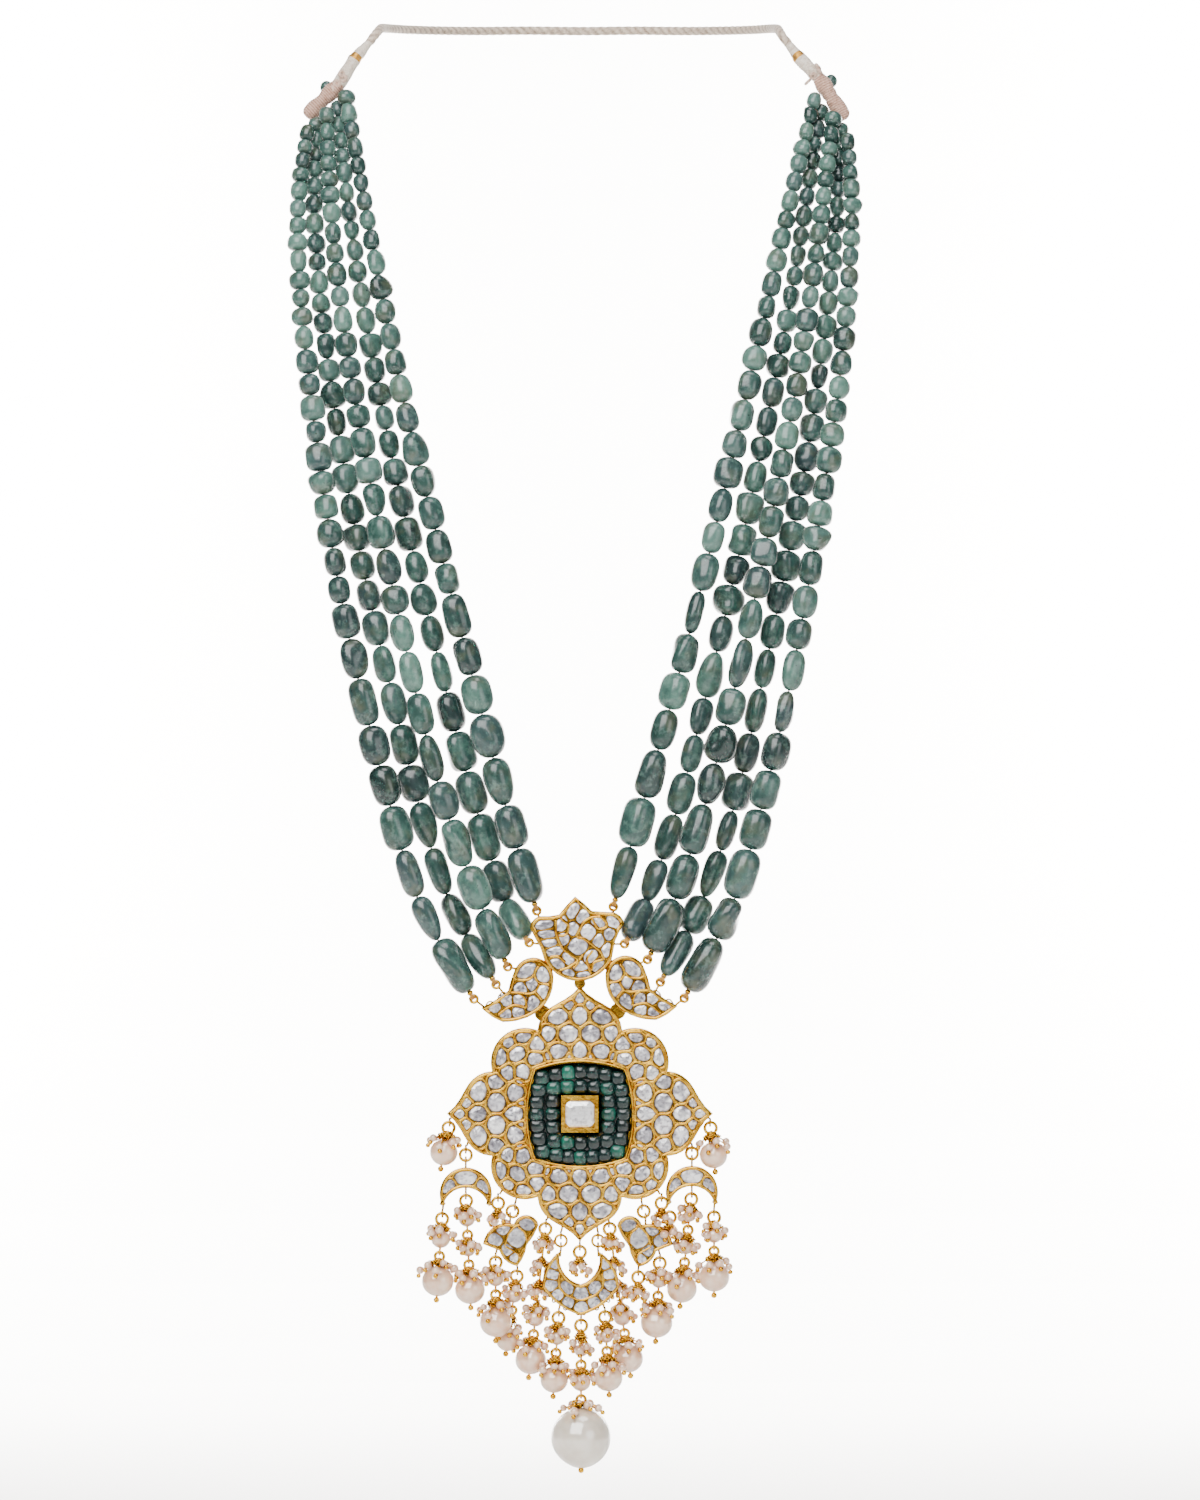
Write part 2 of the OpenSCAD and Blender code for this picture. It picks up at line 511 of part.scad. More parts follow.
// Low stations of the outer strings, at this height, where the inner ones have ended
low_z = -225;
low_x = [[0, -18.1, -24.2, -32.0, -39.4], [0, 16.2, 22.9, 30.0, 37.6]];
// Top ends of the strings under the thread-wound bars: rows of [x, z]
left_tops = [[-59.4, -20.8], [-61.6, -23.4], [-64.1, -25.4], [-66.4, -27.8], [-68.8, -30.0]];
right_tops = [[59.4, -21.4], [61.0, -24.4], [64.0, -26.6], [65.8, -29.4], [67.4, -32.2]];

// The strings lie forward over the chest as they come down
neck_y = -60;
chest_y = -104.6;
fall = 70;
function drape_y(z) = neck_y + (chest_y - neck_y) * (1 - exp((z + 20) / fall));
// Neighbouring strings lie a little in front of and behind each other
stagger_top = 1.8;
stagger_low = 3.6;
function stagger(k, z) = (k % 2 == 0 ? -1 : 1)
    * (z < -150 ? stagger_low : stagger_top + (stagger_low - stagger_top) * (-z - 20) / 130);

function smooth_at(a, b, c, d, t) =
    0.5 * (2 * b + (c - a) * t + (2 * a - 5 * b + 4 * c - d) * t * t + (3 * b - a - 3 * c + d) * t * t * t);
function smooth(pts, n) = let (m = len(pts) - 1) concat([for (i = [0:m - 1], k = [0:n - 1])
    smooth_at(pts[max(i - 1, 0)], pts[i], pts[i + 1], pts[min(i + 2, m)], k / n)], [pts[m]]);

// They come together again over the last stretch above their eyes
spread_run = 9;
function place(k, x, z, low) = [x, drape_y(z) + stagger(k, z) * min(1, (z - low) / spread_run), z];
function eye_place(row) = [row[0], plate_back_y - plate_mid, flower_z + row[1]];
string_start = 2.1;

// Line of string k, from its eye on the frame up to the bar
function string_line(k, eyes, xs, lows, tops) = let (from = eye_place(eyes[k]), n = len(string_z),
    rough = concat([from], k == 0 ? [] : [place(k, lows[k], low_z, from.z)],
        [for (i = [n - 1:-1:0]) place(k, xs[k][i], string_z[i], from.z)],
    [place(k, tops[k][0], tops[k][1], from.z)]))
    smooth(rough, 4);
function run_length(pts, i) = i == 0 ? 0 : run_length(pts, i - 1) + norm(pts[i] - pts[i - 1]);
function along(pts) = [for (i = [0:len(pts) - 1]) run_length(pts, i)];
function point_on(pts, runs, s) = [for (axis = [0:2])
    lookup(s, [for (i = [0:len(pts) - 1]) [runs[i], pts[i][axis]]])];

left_lines = [for (k = [0:4]) string_line(k, left_eyes, left_x, low_x[0], left_tops)];
right_lines = [for (k = [0:4]) string_line(k, right_eyes, right_x, low_x[1], right_tops)];

// How blunt the ends of a bead are: 2 gives an egg, more gives a barrel
bead_blunt = 3.2;
// Large beads of each string from the pendant up: rows of [length, width, egg].
// A positive egg is fuller at its upper end.
left_beads = [
    [[14.0, 7.2, 0], [11.2, 7.6, 0], [12.2, 7.4, 0.3], [11.2, 7.8, 0]],
    [[12.4, 6.3, 0], [10.7, 7.0, 0], [12.2, 7.6, 0.1], [11.0, 7.6, 0]],
    [[13.4, 6.6, 0], [11.5, 7.8, 0], [12.2, 6.3, 0.2], [10.0, 7.2, 0]],
    [[13.2, 6.2, 0.1], [11.5, 6.2, 0], [12.2, 5.7, 0.2], [11.9, 5.8, 0.3]],
    [[15.0, 7.6, 0.1], [11.9, 5.4, 0.3], [12.2, 6.1, 0], [11.4, 7.6, 0]]];
right_beads = [
    [[13.4, 5.7, 0.3], [12.6, 8.2, 0], [12.4, 6.8, 0], [10.4, 6.2, 0]],
    [[12.6, 6.3, 0], [10.9, 5.7, 0.2], [11.9, 6.6, 0], [10.8, 6.2, 0]],
    [[14.4, 8.0, 0], [11.7, 7.2, 0], [13.0, 7.2, -0.2], [10.6, 6.6, 0]],
    [[13.0, 6.0, 0.3], [10.0, 7.3, 0], [12.2, 5.4, 0.3], [10.5, 5.2, 0]],
    [[14.7, 8.0, 0], [10.9, 6.9, 0], [12.8, 7.9, 0], [10.3, 7.4, 0]]];

function starts(beads, i) = i == 0 ? string_start : starts(beads, i - 1) + beads[i - 1][0];

// Tumbled barrel about the Z axis, drilled from end to end
module bead(length, width, egg) {
    rows = 8;
    profile = [for (i = [0:rows]) let (t = -0.98 + 1.96 * i / rows)
        [width / 2 * pow(1 - pow(abs(t), bead_blunt), 1 / 2.3) * (1 + egg * 0.6 * t), t / 1.96 * length]];
    rotate_extrude() polygon(concat([[bead_bore / 2, -length / 2]], profile, [[bead_bore / 2, length / 2]]));
}

module between(a, b) {
    d = b - a;
    translate((a + b) / 2) rotate([0, acos(d.z / norm(d)), atan2(d.y, d.x)]) children();
}

module bead_string(line, beads) {
    runs = along(line);
    color(emerald) for (i = [0:len(beads) - 1]) {
        a = point_on(line, runs, starts(beads, i));
        b = point_on(line, runs, starts(beads, i + 1));
        between(a, b) bead(norm(b - a) - bead_gap, beads[i][1], beads[i][2]);
    }
}

module beads_l1() { bead_string(left_lines[0], left_beads[0]); }
module beads_l2() { bead_string(left_lines[1], left_beads[1]); }
module beads_l3() { bead_string(left_lines[2], left_beads[2]); }
module beads_l4() { bead_string(left_lines[3], left_beads[3]); }
module beads_l5() { bead_string(left_lines[4], left_beads[4]); }
module beads_r1() { bead_string(right_lines[0], right_beads[0]); }
module beads_r2() { bead_string(right_lines[1], right_beads[1]); }
module beads_r3() { bead_string(right_lines[2], right_beads[2]); }
module beads_r4() { bead_string(right_lines[3], right_beads[3]); }
module beads_r5() { bead_string(right_lines[4], right_beads[4]); }

// Tube along a line of points, with a radius for each. The line never runs along beside.
module tube(pts, radii, sides, beside) {
    m = len(pts) - 1;
    function way(i) = let (d = pts[min(i + 1, m)] - pts[max(i - 1, 0)]) d / norm(d);
    function across(d) = let (c = cross(d, beside)) c / norm(c);
    rings = [for (i = [0:m]) let (d = way(i), u = across(d), v = cross(d, u))
        for (k = [0:sides - 1]) let (a = 360 * k / sides)
            pts[i] + radii[i] * (u * cos(a) + v * sin(a))];
    polyhedron(points = rings, faces = concat([[for (k = [0:sides - 1]) k]],
        [[for (k = [sides - 1:-1:0]) m * sides + k]],
        [for (i = [0:m - 1], k = [0:sides - 1]) let (j = (k + 1) % sides)
            [i * sides + k, (i + 1) * sides + k, (i + 1) * sides + j, i * sides + j]]));
}

// Upper stretch of a string, whose fine beads are 4 to 6 mm long
module fine_string(line, beads) {
    runs = along(line);
    first = starts(beads, len(beads)) + bead_gap;
    last = runs[len(runs) - 1];
    steps = 7;
    share = [for (i = [0:steps]) i / steps];
    color(emerald) tube([for (t = share) point_on(line, runs, first + (last - first) * t)],
        [for (t = share) (string_low_d + (string_top_d - string_low_d) * t) / 2], 8, [0, 1, 0]);
}

module string_l1() { fine_string(left_lines[0], left_beads[0]); }
module string_l2() { fine_string(left_lines[1], left_beads[1]); }
module string_l3() { fine_string(left_lines[2], left_beads[2]); }
module string_l4() { fine_string(left_lines[3], left_beads[3]); }
module string_l5() { fine_string(left_lines[4], left_beads[4]); }
module string_r1() { fine_string(right_lines[0], right_beads[0]); }
module string_r2() { fine_string(right_lines[1], right_beads[1]); }
module string_r3() { fine_string(right_lines[2], right_beads[2]); }
module string_r4() { fine_string(right_lines[3], right_beads[3]); }
module string_r5() { fine_string(right_lines[4], right_beads[4]); }

// Thread through the large beads. Its end turns back round the wire of the string's eye.
module thread(line, beads) {
    turn_r = 0.85;
    runs = along(line);
    n = len(beads);
    low = line[0];
    stops = [for (i = [0:n]) point_on(line, runs, starts(beads, i) + (i == n ? -0.1 : 0))];
    rise = [stops[0].x - low.x, 0, stops[0].z - low.z];
    up = rise / norm(rise);
    back = [0, stops[0].y > low.y ? -1 : 1, 0];
    turn = [for (a = [36:36:324]) low + turn_r * ((1 + cos(a)) * up + sin(a) * back)];
    route = concat(turn, stops);
    tube(route, [for (p = route) thread_d / 2], 8, cross(up, back));
}

module threads_left() { color(thread_colour) for (k = [0:4]) thread(left_lines[k], left_beads[k]); }
module threads_right() { color(thread_colour) for (k = [0:4]) thread(right_lines[k], right_beads[k]); }

module taper(a, b, ra, rb) {
    between(a, b) cylinder(r1 = ra, r2 = rb, h = norm(b - a), center = true);
}

// Thread-wound bar across the ends of the strings, and the wound cone above it
module string_end(bar, band, tip) {
    bar_r = 1.9;
    band_r = 1.8;
    color(thread_colour) {
        for (p = bar) translate(p) sphere(bar_r * 1.02);
        taper(bar[0], bar[1], bar_r, bar_r);
        taper(bar[1], band, bar_r * 0.96, band_r * 0.96);
        translate(band) sphere(band_r);
        taper(band, tip, band_r * 0.97, cord_d / 2);
    }
}

left_tip = [-53.5, -57, -7];
right_tip = [52.8, -57, -7.5];
module string_end_left() {
    string_end([[-69.5, -61.5, -26.3], [-60.6, -60, -17.4]], [-57.3, -58.5, -11.5], left_tip);
}
module string_end_right() {
    string_end([[67.2, -61.5, -27.0], [60.0, -60, -15.5]], [55.6, -58.5, -11.2], right_tip);
}

// Route of the neck cord round the back of the neck, from the left tip to the right one
cord_line = [left_tip, [-51.9, -56.2, -4.9], [-51, -52, -3.4], [-50.6, -45, -2.6], [-48.8, -35, -2],
    [-44, -24, -1.5], [-36, -14, -1], [-26, -6, -0.5], [-14, -0.5, 0], [0, 1.2, 0], [14, -0.5, 0],
    [26, -6, -0.5], [36, -14, -1], [44, -24, -1.5], [48.8, -35, -2], [50.2, -45, -2.8],
    [50.5, -52, -3.7], [51.3, -56.1, -5.4], right_tip];
cord_gap = 0.6;

module neck_cord() {
    n = len(cord_line) - 1;
    a = cord_line[0] + cord_gap * (cord_line[1] - cord_line[0]) / norm(cord_line[1] - cord_line[0]);
    b = cord_line[n] + cord_gap * (cord_line[n - 1] - cord_line[n]) / norm(cord_line[n - 1] - cord_line[n]);
    line = smooth(concat([a], [for (i = [1:n - 1]) cord_line[i]], [b]), 2);
    color(thread_colour) tube(line, [for (p = line) cord_d / 2], 8, [0, 0, 1]);
}

pendant_frame();
flower_stones();
crest_stones();
leaf_stones();
centre_diamond();
emerald_mosaic();
crescent_left();
crescent_left_stones();
crescent_right();
crescent_right_stones();
trefoil_left();
trefoil_left_stones();
trefoil_right();
trefoil_right_stones();
crescent_centre();
crescent_centre_stones();
side_rings();
crescent_rings();
pins_left();
pearls_left();
pins_right();
pearls_right();
crescent_pins();
crescent_pearls();
main_drop_pins();
main_drop_pearls();
main_pearl();
beads_l1();
beads_l2();
beads_l3();
beads_l4();
beads_l5();
beads_r1();
beads_r2();
beads_r3();
beads_r4();
beads_r5();
string_l1();
string_l2();
string_l3();
string_l4();
string_l5();
string_r1();
string_r2();
string_r3();
string_r4();
string_r5();
threads_left();
threads_right();
string_end_left();
string_end_right();
neck_cord();
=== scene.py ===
"""Look of the polki bead pendant: stones, pearls, emeralds, wound thread and satin gold on the CAD frame.

Lengths in the tables are millimetres. The pendant has its own axes, as in the source of the solids: u to the
right, v up and w towards the viewer, from the flower's centre at the back of the plates.
"""

import logging
import math
from dataclasses import dataclass, field
from enum import Enum

import bpy
import numpy as np
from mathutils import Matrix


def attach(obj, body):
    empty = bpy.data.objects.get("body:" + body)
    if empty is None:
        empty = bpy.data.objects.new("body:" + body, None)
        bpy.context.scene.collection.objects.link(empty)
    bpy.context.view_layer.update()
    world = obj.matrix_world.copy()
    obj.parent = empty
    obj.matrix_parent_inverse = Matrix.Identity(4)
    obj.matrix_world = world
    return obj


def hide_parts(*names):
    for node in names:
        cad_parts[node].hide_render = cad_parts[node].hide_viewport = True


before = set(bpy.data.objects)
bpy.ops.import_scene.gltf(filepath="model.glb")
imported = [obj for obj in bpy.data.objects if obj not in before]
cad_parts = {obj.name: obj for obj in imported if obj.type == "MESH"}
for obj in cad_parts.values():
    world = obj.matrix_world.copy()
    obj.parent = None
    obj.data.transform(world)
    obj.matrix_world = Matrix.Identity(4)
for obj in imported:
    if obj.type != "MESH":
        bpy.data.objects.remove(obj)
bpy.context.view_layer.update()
LOG = logging.getLogger("pendant")
MM = 0.001
Array = np.ndarray
Point = tuple[float, float, float]
Socket = bpy.types.NodeSocket
TOWARDS = np.array([0.0, -1.0, 0.0])
RIGHT = np.array([1.0, 0.0, 0.0])
UP = np.array([0.0, 0.0, 1.0])
# a direction that nothing in the necklace runs along
SKEW = np.array([0.31, 0.93, 0.2])


class Body(Enum):
    """The CAD bodies that pieces ride on."""
    NECKLACE = "necklace"
    CRESCENT = "centre_crescent"
    DROP = "pearl_drop"


class Slot(Enum):
    """The record's material slots."""
    GOLD = "gold"
    POLKI = "polki"
    PEARL = "pearl"
    EMERALD = "emerald"
    MOSAIC = "mosaic_emerald"
    THREAD = "thread"
    WOUND = "wound_thread"
    CORD = "cord"


# Surfaces, made as whole arrays

@dataclass
class Shape:
    """Vertices in mm, face arrays by corner count, and a number at each vertex for each named value."""
    verts: Array
    faces: list[Array]
    values: dict[str, Array] = field(default_factory=dict)


def joined(shapes: list[Shape]) -> Shape:
    """One shape from several that carry the same values.

    Args:
        shapes: the shapes to put together.
    Returns:
        The joined shape.
    """
    faces, start = [], 0
    for s in shapes:
        faces += [f + start for f in s.faces]
        start += len(s.verts)
    values = {k: np.concatenate([s.values[k] for s in shapes]) for k in shapes[0].values}
    return Shape(np.concatenate([s.verts for s in shapes]), faces, values)


def surface(points: Array, ring_closed: bool = False, **values: Array) -> Shape:
    """Skins over n grids at once: rows follow each other along a path and columns go round it.

    Vertex (i, j) joins (i, j + 1), (i + 1, j + 1) and (i + 1, j). Columns always close on themselves. Rows
    that don't close end in a fan round the mean of the first and of the last row.

    Args:
        points: places in mm, shaped (n, rows, columns, 3), columns counter-clockwise about the path.
        ring_closed: whether the last row joins the first one.
        values: numbers at the vertices, shaped (n, rows, columns) or able to spread to that.
    Returns:
        The closed shape.
    """
    n, r, c, _ = points.shape
    idx = np.arange(n * r * c).reshape(n, r, c)
    right = np.roll(idx, -1, axis=2)
    if ring_closed:
        up, up_right = np.roll(idx, -1, axis=1), np.roll(right, -1, axis=1)
        quads = np.stack([idx, right, up_right, up], -1)
    else:
        quads = np.stack([idx[:, :-1], right[:, :-1], right[:, 1:], idx[:, 1:]], -1)
    verts, faces = [points.reshape(-1, 3)], [quads.reshape(-1, 4)]
    full = {k: np.broadcast_to(v, (n, r, c)).astype(float) for k, v in values.items()}
    data = {k: [v.reshape(-1)] for k, v in full.items()}
    if not ring_closed:
        for row, flip, base in ((0, True, n * r * c), (r - 1, False, n * r * c + n)):
            verts.append(points[:, row].mean(axis=1))
            pole = np.broadcast_to((base + np.arange(n))[:, None], (n, c))
            a, b = idx[:, row], right[:, row]
            faces.append(np.stack([pole, b, a] if flip else [pole, a, b], -1).reshape(-1, 3))
            for k, v in full.items():
                data[k].append(v[:, row].mean(axis=1))
    return Shape(np.concatenate(verts), faces, {k: np.concatenate(v) for k, v in data.items()})


def unit(v: Array) -> Array:
    """Vectors scaled to length 1."""
    return v / np.linalg.norm(v, axis=-1, keepdims=True)


def circle(count: int) -> Array:
    """Angles evenly round a circle."""
    return np.linspace(0, 2 * np.pi, count, endpoint=False)


def run_along(line: Array) -> Array:
    """Distance along a line at each of its points."""
    return np.concatenate([[0], np.cumsum(np.linalg.norm(np.diff(line, axis=0), axis=1))])


def points_at(line: Array, marks: Array) -> Array:
    """Points of a line at given distances along it."""
    run = run_along(line)
    return np.stack([np.interp(marks, run, q) for q in line.T], -1)


def softened(line: Array, window: int) -> Array:
    """A line with each point moved to the mean of the window of points round it."""
    soft = np.ones(window) / window
    return np.stack([np.convolve(np.pad(q, window // 2, "edge"), soft, "valid") for q in line.T], -1)


def curve_through(pts: Array, steps: int) -> Array:
    """Smooth curve through points, without the last one.

    From b to c, with a before and d after them, the place at share t is half of
    2b + (c - a) t + (2a - 5b + 4c - d) t^2 + (3b - a - 3c + d) t^3.

    Args:
        pts: the points, shaped (m, 3).
        steps: places from each point to the next.
    Returns:
        Places shaped ((m - 1) * steps, 3).
    """
    t = (np.arange(steps) / steps)[None, :, None]
    b, c = pts[:-1, None], pts[1:, None]
    a, d = np.concatenate([b[:1], b[:-1]]), np.concatenate([c[1:], c[-1:]])
    square, cube = 2 * a - 5 * b + 4 * c - d, 3 * b - a - 3 * c + d
    return (0.5 * (2 * b + (c - a) * t + square * t ** 2 + cube * t ** 3)).reshape(-1, 3)


def across(along: Array, beside: Array) -> tuple[Array, Array]:
    """Two directions square to each tangent, right-handed with it.

    Args:
        along: tangents, shaped (..., 3).
        beside: a direction that no tangent runs along.
    Returns:
        The first and second cross direction.
    """
    u = unit(np.cross(beside, along))
    return u, np.cross(along, u)


def swept(paths: Array, radii: Array, sides: int, beside: Array) -> Array:
    """Round tubes: each ring is path + radius * (cos a * u + sin a * v), square to the path.

    Args:
        paths: points shaped (n, rows, 3).
        radii: radii that spread to (n, rows, sides).
        sides: points round a ring.
        beside: a direction that no path runs along.
    Returns:
        Grid points shaped (n, rows, sides, 3).
    """
    u, v = across(unit(np.gradient(paths, axis=1)), beside)
    a = circle(sides)[:, None]
    r = np.broadcast_to(radii, paths.shape[:2] + (sides,))[..., None]
    return paths[:, :, None] + r * (np.cos(a) * u[:, :, None] + np.sin(a) * v[:, :, None])


def balls(centres: Array, radii: Array, rows: int, cols: int, squash: float = 1.0, axis: Array | None = None,
          **values: Array) -> Shape:
    """Round balls: ring radius R * sin p at height -R * cos p along each axis, p from near 0 to near pi.

    Args:
        centres: places shaped (n, 3).
        radii: their radii shaped (n,).
        rows: rings between the poles.
        cols: points round a ring.
        squash: height over width.
        axis: unit axes shaped (n, 3); upright if not given.
        values: one number a ball for each name.
    Returns:
        The balls as one shape.
    """
    p = np.linspace(0, np.pi, rows + 2)[1:-1][:, None, None]
    a = circle(cols)[:, None]
    up = np.tile(UP, (len(centres), 1)) if axis is None else axis
    u, v = (q[:, None, None] for q in across(up, SKEW))
    ring = np.sin(p) * (np.cos(a) * u + np.sin(a) * v) - squash * np.cos(p) * up[:, None, None]
    grid = centres[:, None, None] + radii[:, None, None, None] * ring
    return surface(grid, **{k: v[:, None, None] for k, v in values.items()})


def from_hearts(made: Shape, centres: Array, radii: Array) -> tuple[Array, Array]:
    """Measures the vertices of balls that carry their number as own, and takes that number off them.

    Args:
        made: the balls.
        centres: their centres.
        radii: their radii.
    Returns:
        Each vertex's place from its ball's centre over the ball's radius, and the number of its ball.
    """
    own = made.values.pop("own").astype(int)
    return (made.verts - centres[own]) / radii[own, None], own


def rings(centres: Array, radius: float, wire: float, flat: Array, steep: Array, cols: int = 24,
          **values: float) -> Shape:
    """Wire rings: a circle in the plane of two directions, with a round wire of eight sides.

    Args:
        centres: places shaped (n, 3).
        radius: of the wire's centre line.
        wire: radius of the wire.
        flat: first direction of each ring's plane, shaped (n, 3), or one for all.
        steep: second direction, square to the first.
        cols: points along the wire.
        values: the number that all vertices carry for each name.
    Returns:
        The rings as one shape.
    """
    flat, steep = (np.broadcast_to(q, centres.shape) for q in (flat, steep))
    t, a = circle(cols)[:, None], circle(8)[:, None]
    out = np.cos(t) * flat[:, None] + np.sin(t) * steep[:, None]
    lift = np.cross(flat, steep)[:, None, None]
    grid = centres[:, None, None] + out[:, :, None] * (radius + wire * np.cos(a)) - lift * wire * np.sin(a)
    return surface(grid, ring_closed=True, **values)


# Materials

def linear(code: str) -> tuple[float, float, float, float]:
    """Linear colour with full alpha from an sRGB hex code."""
    raw = [int(code[i:i + 2], 16) / 255 for i in (1, 3, 5)]
    r, g, b = (c / 12.92 if c <= 0.04045 else ((c + 0.055) / 1.055) ** 2.4 for c in raw)
    return r, g, b, 1.0


class Tree:
    """A material's node tree with short calls for nodes and links."""

    def __init__(self, name: str) -> None:
        """Makes the material and its surface shader."""
        self.material = bpy.data.materials.new(name)
        self.material.use_nodes = True
        self.nodes = self.material.node_tree.nodes
        self.links = self.material.node_tree.links
        self.shader = self.nodes["Principled BSDF"]

    def add(self, kind: str, inputs: dict | None = None, **settings: object) -> bpy.types.Node:
        """Adds a node with its settings, and sets or links its inputs.

        Args:
            kind: the node's type without the ShaderNode prefix.
            inputs: socket name or number to a value or to another node's output.
            settings: the node's own properties.
        Returns:
            The node.
        """
        made = self.nodes.new("ShaderNode" + kind)
        for key, value in settings.items():
            setattr(made, key, value)
        self.feed(made, inputs or {})
        return made

    def feed(self, target: bpy.types.Node, inputs: dict) -> None:
        """Sets or links inputs of a node.

        Args:
            target: the node.
            inputs: socket name or number to a value or to another node's output.
        """
        for key, value in inputs.items():
            if isinstance(value, Socket):
                self.links.new(value, target.inputs[key])
            else:
                target.inputs[key].default_value = value

    def place(self) -> Socket:
        """Object coordinates in metres."""
        return self.add("TexCoord").outputs["Object"]

    def value(self, name: str) -> Socket:
        """The number that a mesh carries under this name."""
        return self.add("Attribute", attribute_name=name).outputs["Fac"]

    def noise(self, size_mm: float, detail: float = 3.0, rough: float = 0.5,
              where: Socket | None = None) -> Socket:
        """Noise whose patches are about this many millimetres wide."""
        made = self.add("TexNoise", {"Vector": where or self.place(), "Scale": 1 / (size_mm * MM)})
        self.feed(made, {"Detail": detail, "Roughness": rough})
        return made.outputs["Fac"]

    def ramp(self, source: Socket, stops: list[tuple[float, str]]) -> Socket:
        """Colours along a number.

        Args:
            source: the number.
            stops: rows of position and hex code.
        Returns:
            The colour.
        """
        made = self.add("ValToRGB", {"Fac": source})
        marks = made.color_ramp.elements
        while len(marks) < len(stops):
            marks.new(0.5)
        for mark, (at, code) in zip(marks, stops):
            mark.position = at
            mark.color = linear(code)
        return made.outputs["Color"]

    def mix(self, share: object, a: object, b: object, way: str = "MIX") -> Socket:
        """Mixes two colours by a number."""
        made = self.add("Mix", data_type="RGBA", blend_type=way)
        self.feed(made, {0: share, 6: a, 7: b})
        return made.outputs[2]

    def span(self, source: Socket, low: float, high: float, to_low: float = 0.0,
             to_high: float = 1.0) -> Socket:
        """A number moved from one range to another, clamped."""
        return self.add("MapRange", {0: source, 1: low, 2: high, 3: to_low, 4: to_high}).outputs[0]

    def math(self, way: str, a: object, b: object) -> Socket:
        """The sum, product or other operation of two numbers."""
        return self.add("Math", {0: a, 1: b}, operation=way).outputs[0]

    def bump(self, height: Socket, depth_mm: float, strength: float = 1.0) -> None:
        """Relief of the surface from a height of 0 to 1."""
        made = self.add("Bump", {"Height": height, "Distance": depth_mm * MM, "Strength": strength})
        self.feed(self.shader, {"Normal": made.outputs["Normal"]})


# metres: between which y the pockets in the plates begin to get painted shade, and where their floor ends
POCKET_TOP = (-0.1079, -0.1072)
POCKET_FLOOR = (-0.107, -0.1068)


@dataclass(frozen=True)
class SatinGold:
    """Pure gold foil burnished by hand: warm, soft highlights, with painted amber shade where it goes down
    beside the stones.
    """
    name: str = "kundan_gold_burnished"
    crest: str = "#e2b13a"
    hollow: str = "#604010"
    by_depth: bool = False

    def make(self) -> bpy.types.Material:
        """Builds the material, with the hollow colour as painted shade by the value deep. With by_depth the
        painted shade in the hollows is told by their depth in the plate.

        Returns:
            The material.
        """
        t = Tree(self.name)
        if self.by_depth:
            y = t.add("SeparateXYZ", {0: t.place()}).outputs["Y"]
            deep = t.math("MULTIPLY", t.span(y, *POCKET_TOP), t.span(y, *POCKET_FLOOR, 1.0, 0.0))
        else:
            deep = t.value("deep")
        patch = t.noise(2.2, 4.0)
        # painted shade: the hollow colour is mixed in where the gold goes down into pockets, beside stones
        # and at the foot of walls
        shaded_gold = t.mix(deep, linear(self.crest), linear(self.hollow))
        tone = t.ramp(patch, [(0.3, "#cdb488"), (0.62, "#ffffff")])
        colour = t.mix(1.0, shaded_gold, tone, "MULTIPLY")
        t.feed(t.shader, {"Base Color": colour, "Metallic": 1.0,
                          "Roughness": t.span(patch, 0.3, 0.75, 0.16, 0.32)})
        t.bump(t.noise(0.7, 3.0), 0.05, 0.8)
        return t.material


@dataclass(frozen=True)
class Polki:
    """Uncut diamond over silver foil: grey-silver with painted light and shade on its facets, a dark line at
    the setting painted as shade in the seam, and a hard glassy shine.
    """
    name: str = "polki_uncut_diamond_foil_backed"
    least: float = 0.0

    def make(self) -> bpy.types.Material:
        """Builds the material from the values edge (painted shade in the seam at the setting) and shade
        (painted light, shade and glints of the facets); least is the shade of its darkest facet.

        Returns:
            The material.
        """
        t = Tree(self.name)
        # painted light: each facet gets a random tone from shaded grey up to a white glint
        lit = t.span(t.value("shade"), 0.0, 1.0, self.least, 1.0)
        shade = t.ramp(lit, [(0.0, "#817f88"), (0.45, "#c6c4cb"), (0.8, "#ffffff")])
        cloud = t.ramp(t.noise(1.0, 3.0), [(0.3, "#b5afb4"), (0.5, "#ffffff")])
        body = t.mix(1.0, shade, cloud, "MULTIPLY")
        # painted shade: the girdle darkens into the seam at the setting
        colour = t.mix(t.span(t.value("edge"), 0.5, 0.9), body, linear("#4c4436"))
        t.feed(t.shader, {"Base Color": colour, "Metallic": 0.4, "Roughness": 0.14, "Coat Weight": 1.0,
                          "Coat Roughness": 0.03, "Coat IOR": 1.9})
        t.bump(t.noise(0.9, 2.0), 0.16, 0.7)
        return t.material


@dataclass(frozen=True)
class Pearl:
    """Cultured pearl: soft pink-cream nacre with a clear shine, with a painted amber reflection of the gold
    near it and painted warm shade.
    """
    name: str = "cultured_pearl_nacre"
    light: str = "#f5d4b6"
    shade: str = "#e0b08a"
    patch_mm: float = 3.0
    painted_tint: str = "#a5622a"

    def make(self) -> bpy.types.Material:
        """Builds the material from a painted value at the vertices, 1 where the gold's reflection and the
        warm shade are painted strongest.

        Returns:
            The material.
        """
        t = Tree(self.name)
        nacre = t.ramp(t.noise(self.patch_mm, 2.0), [(0.3, self.shade), (0.65, self.light)])
        # painted reflection of the nearby gold and painted warm shade, mixed in by a value at the vertices
        colour = t.mix(t.value("warm"), nacre, linear(self.painted_tint))
        t.feed(t.shader, {"Base Color": colour, "Roughness": 0.32, "Coat Weight": 1.0, "Coat Roughness": 0.1,
                          "Coat IOR": 2.3, "Subsurface Weight": 0.05, "Subsurface Scale": 0.001,
                          "Sheen Weight": 0.1, "Sheen Tint": linear("#f5d3cf")})
        t.bump(t.noise(self.patch_mm * 0.6, 2.0), 0.08, 0.35)
        return t.material


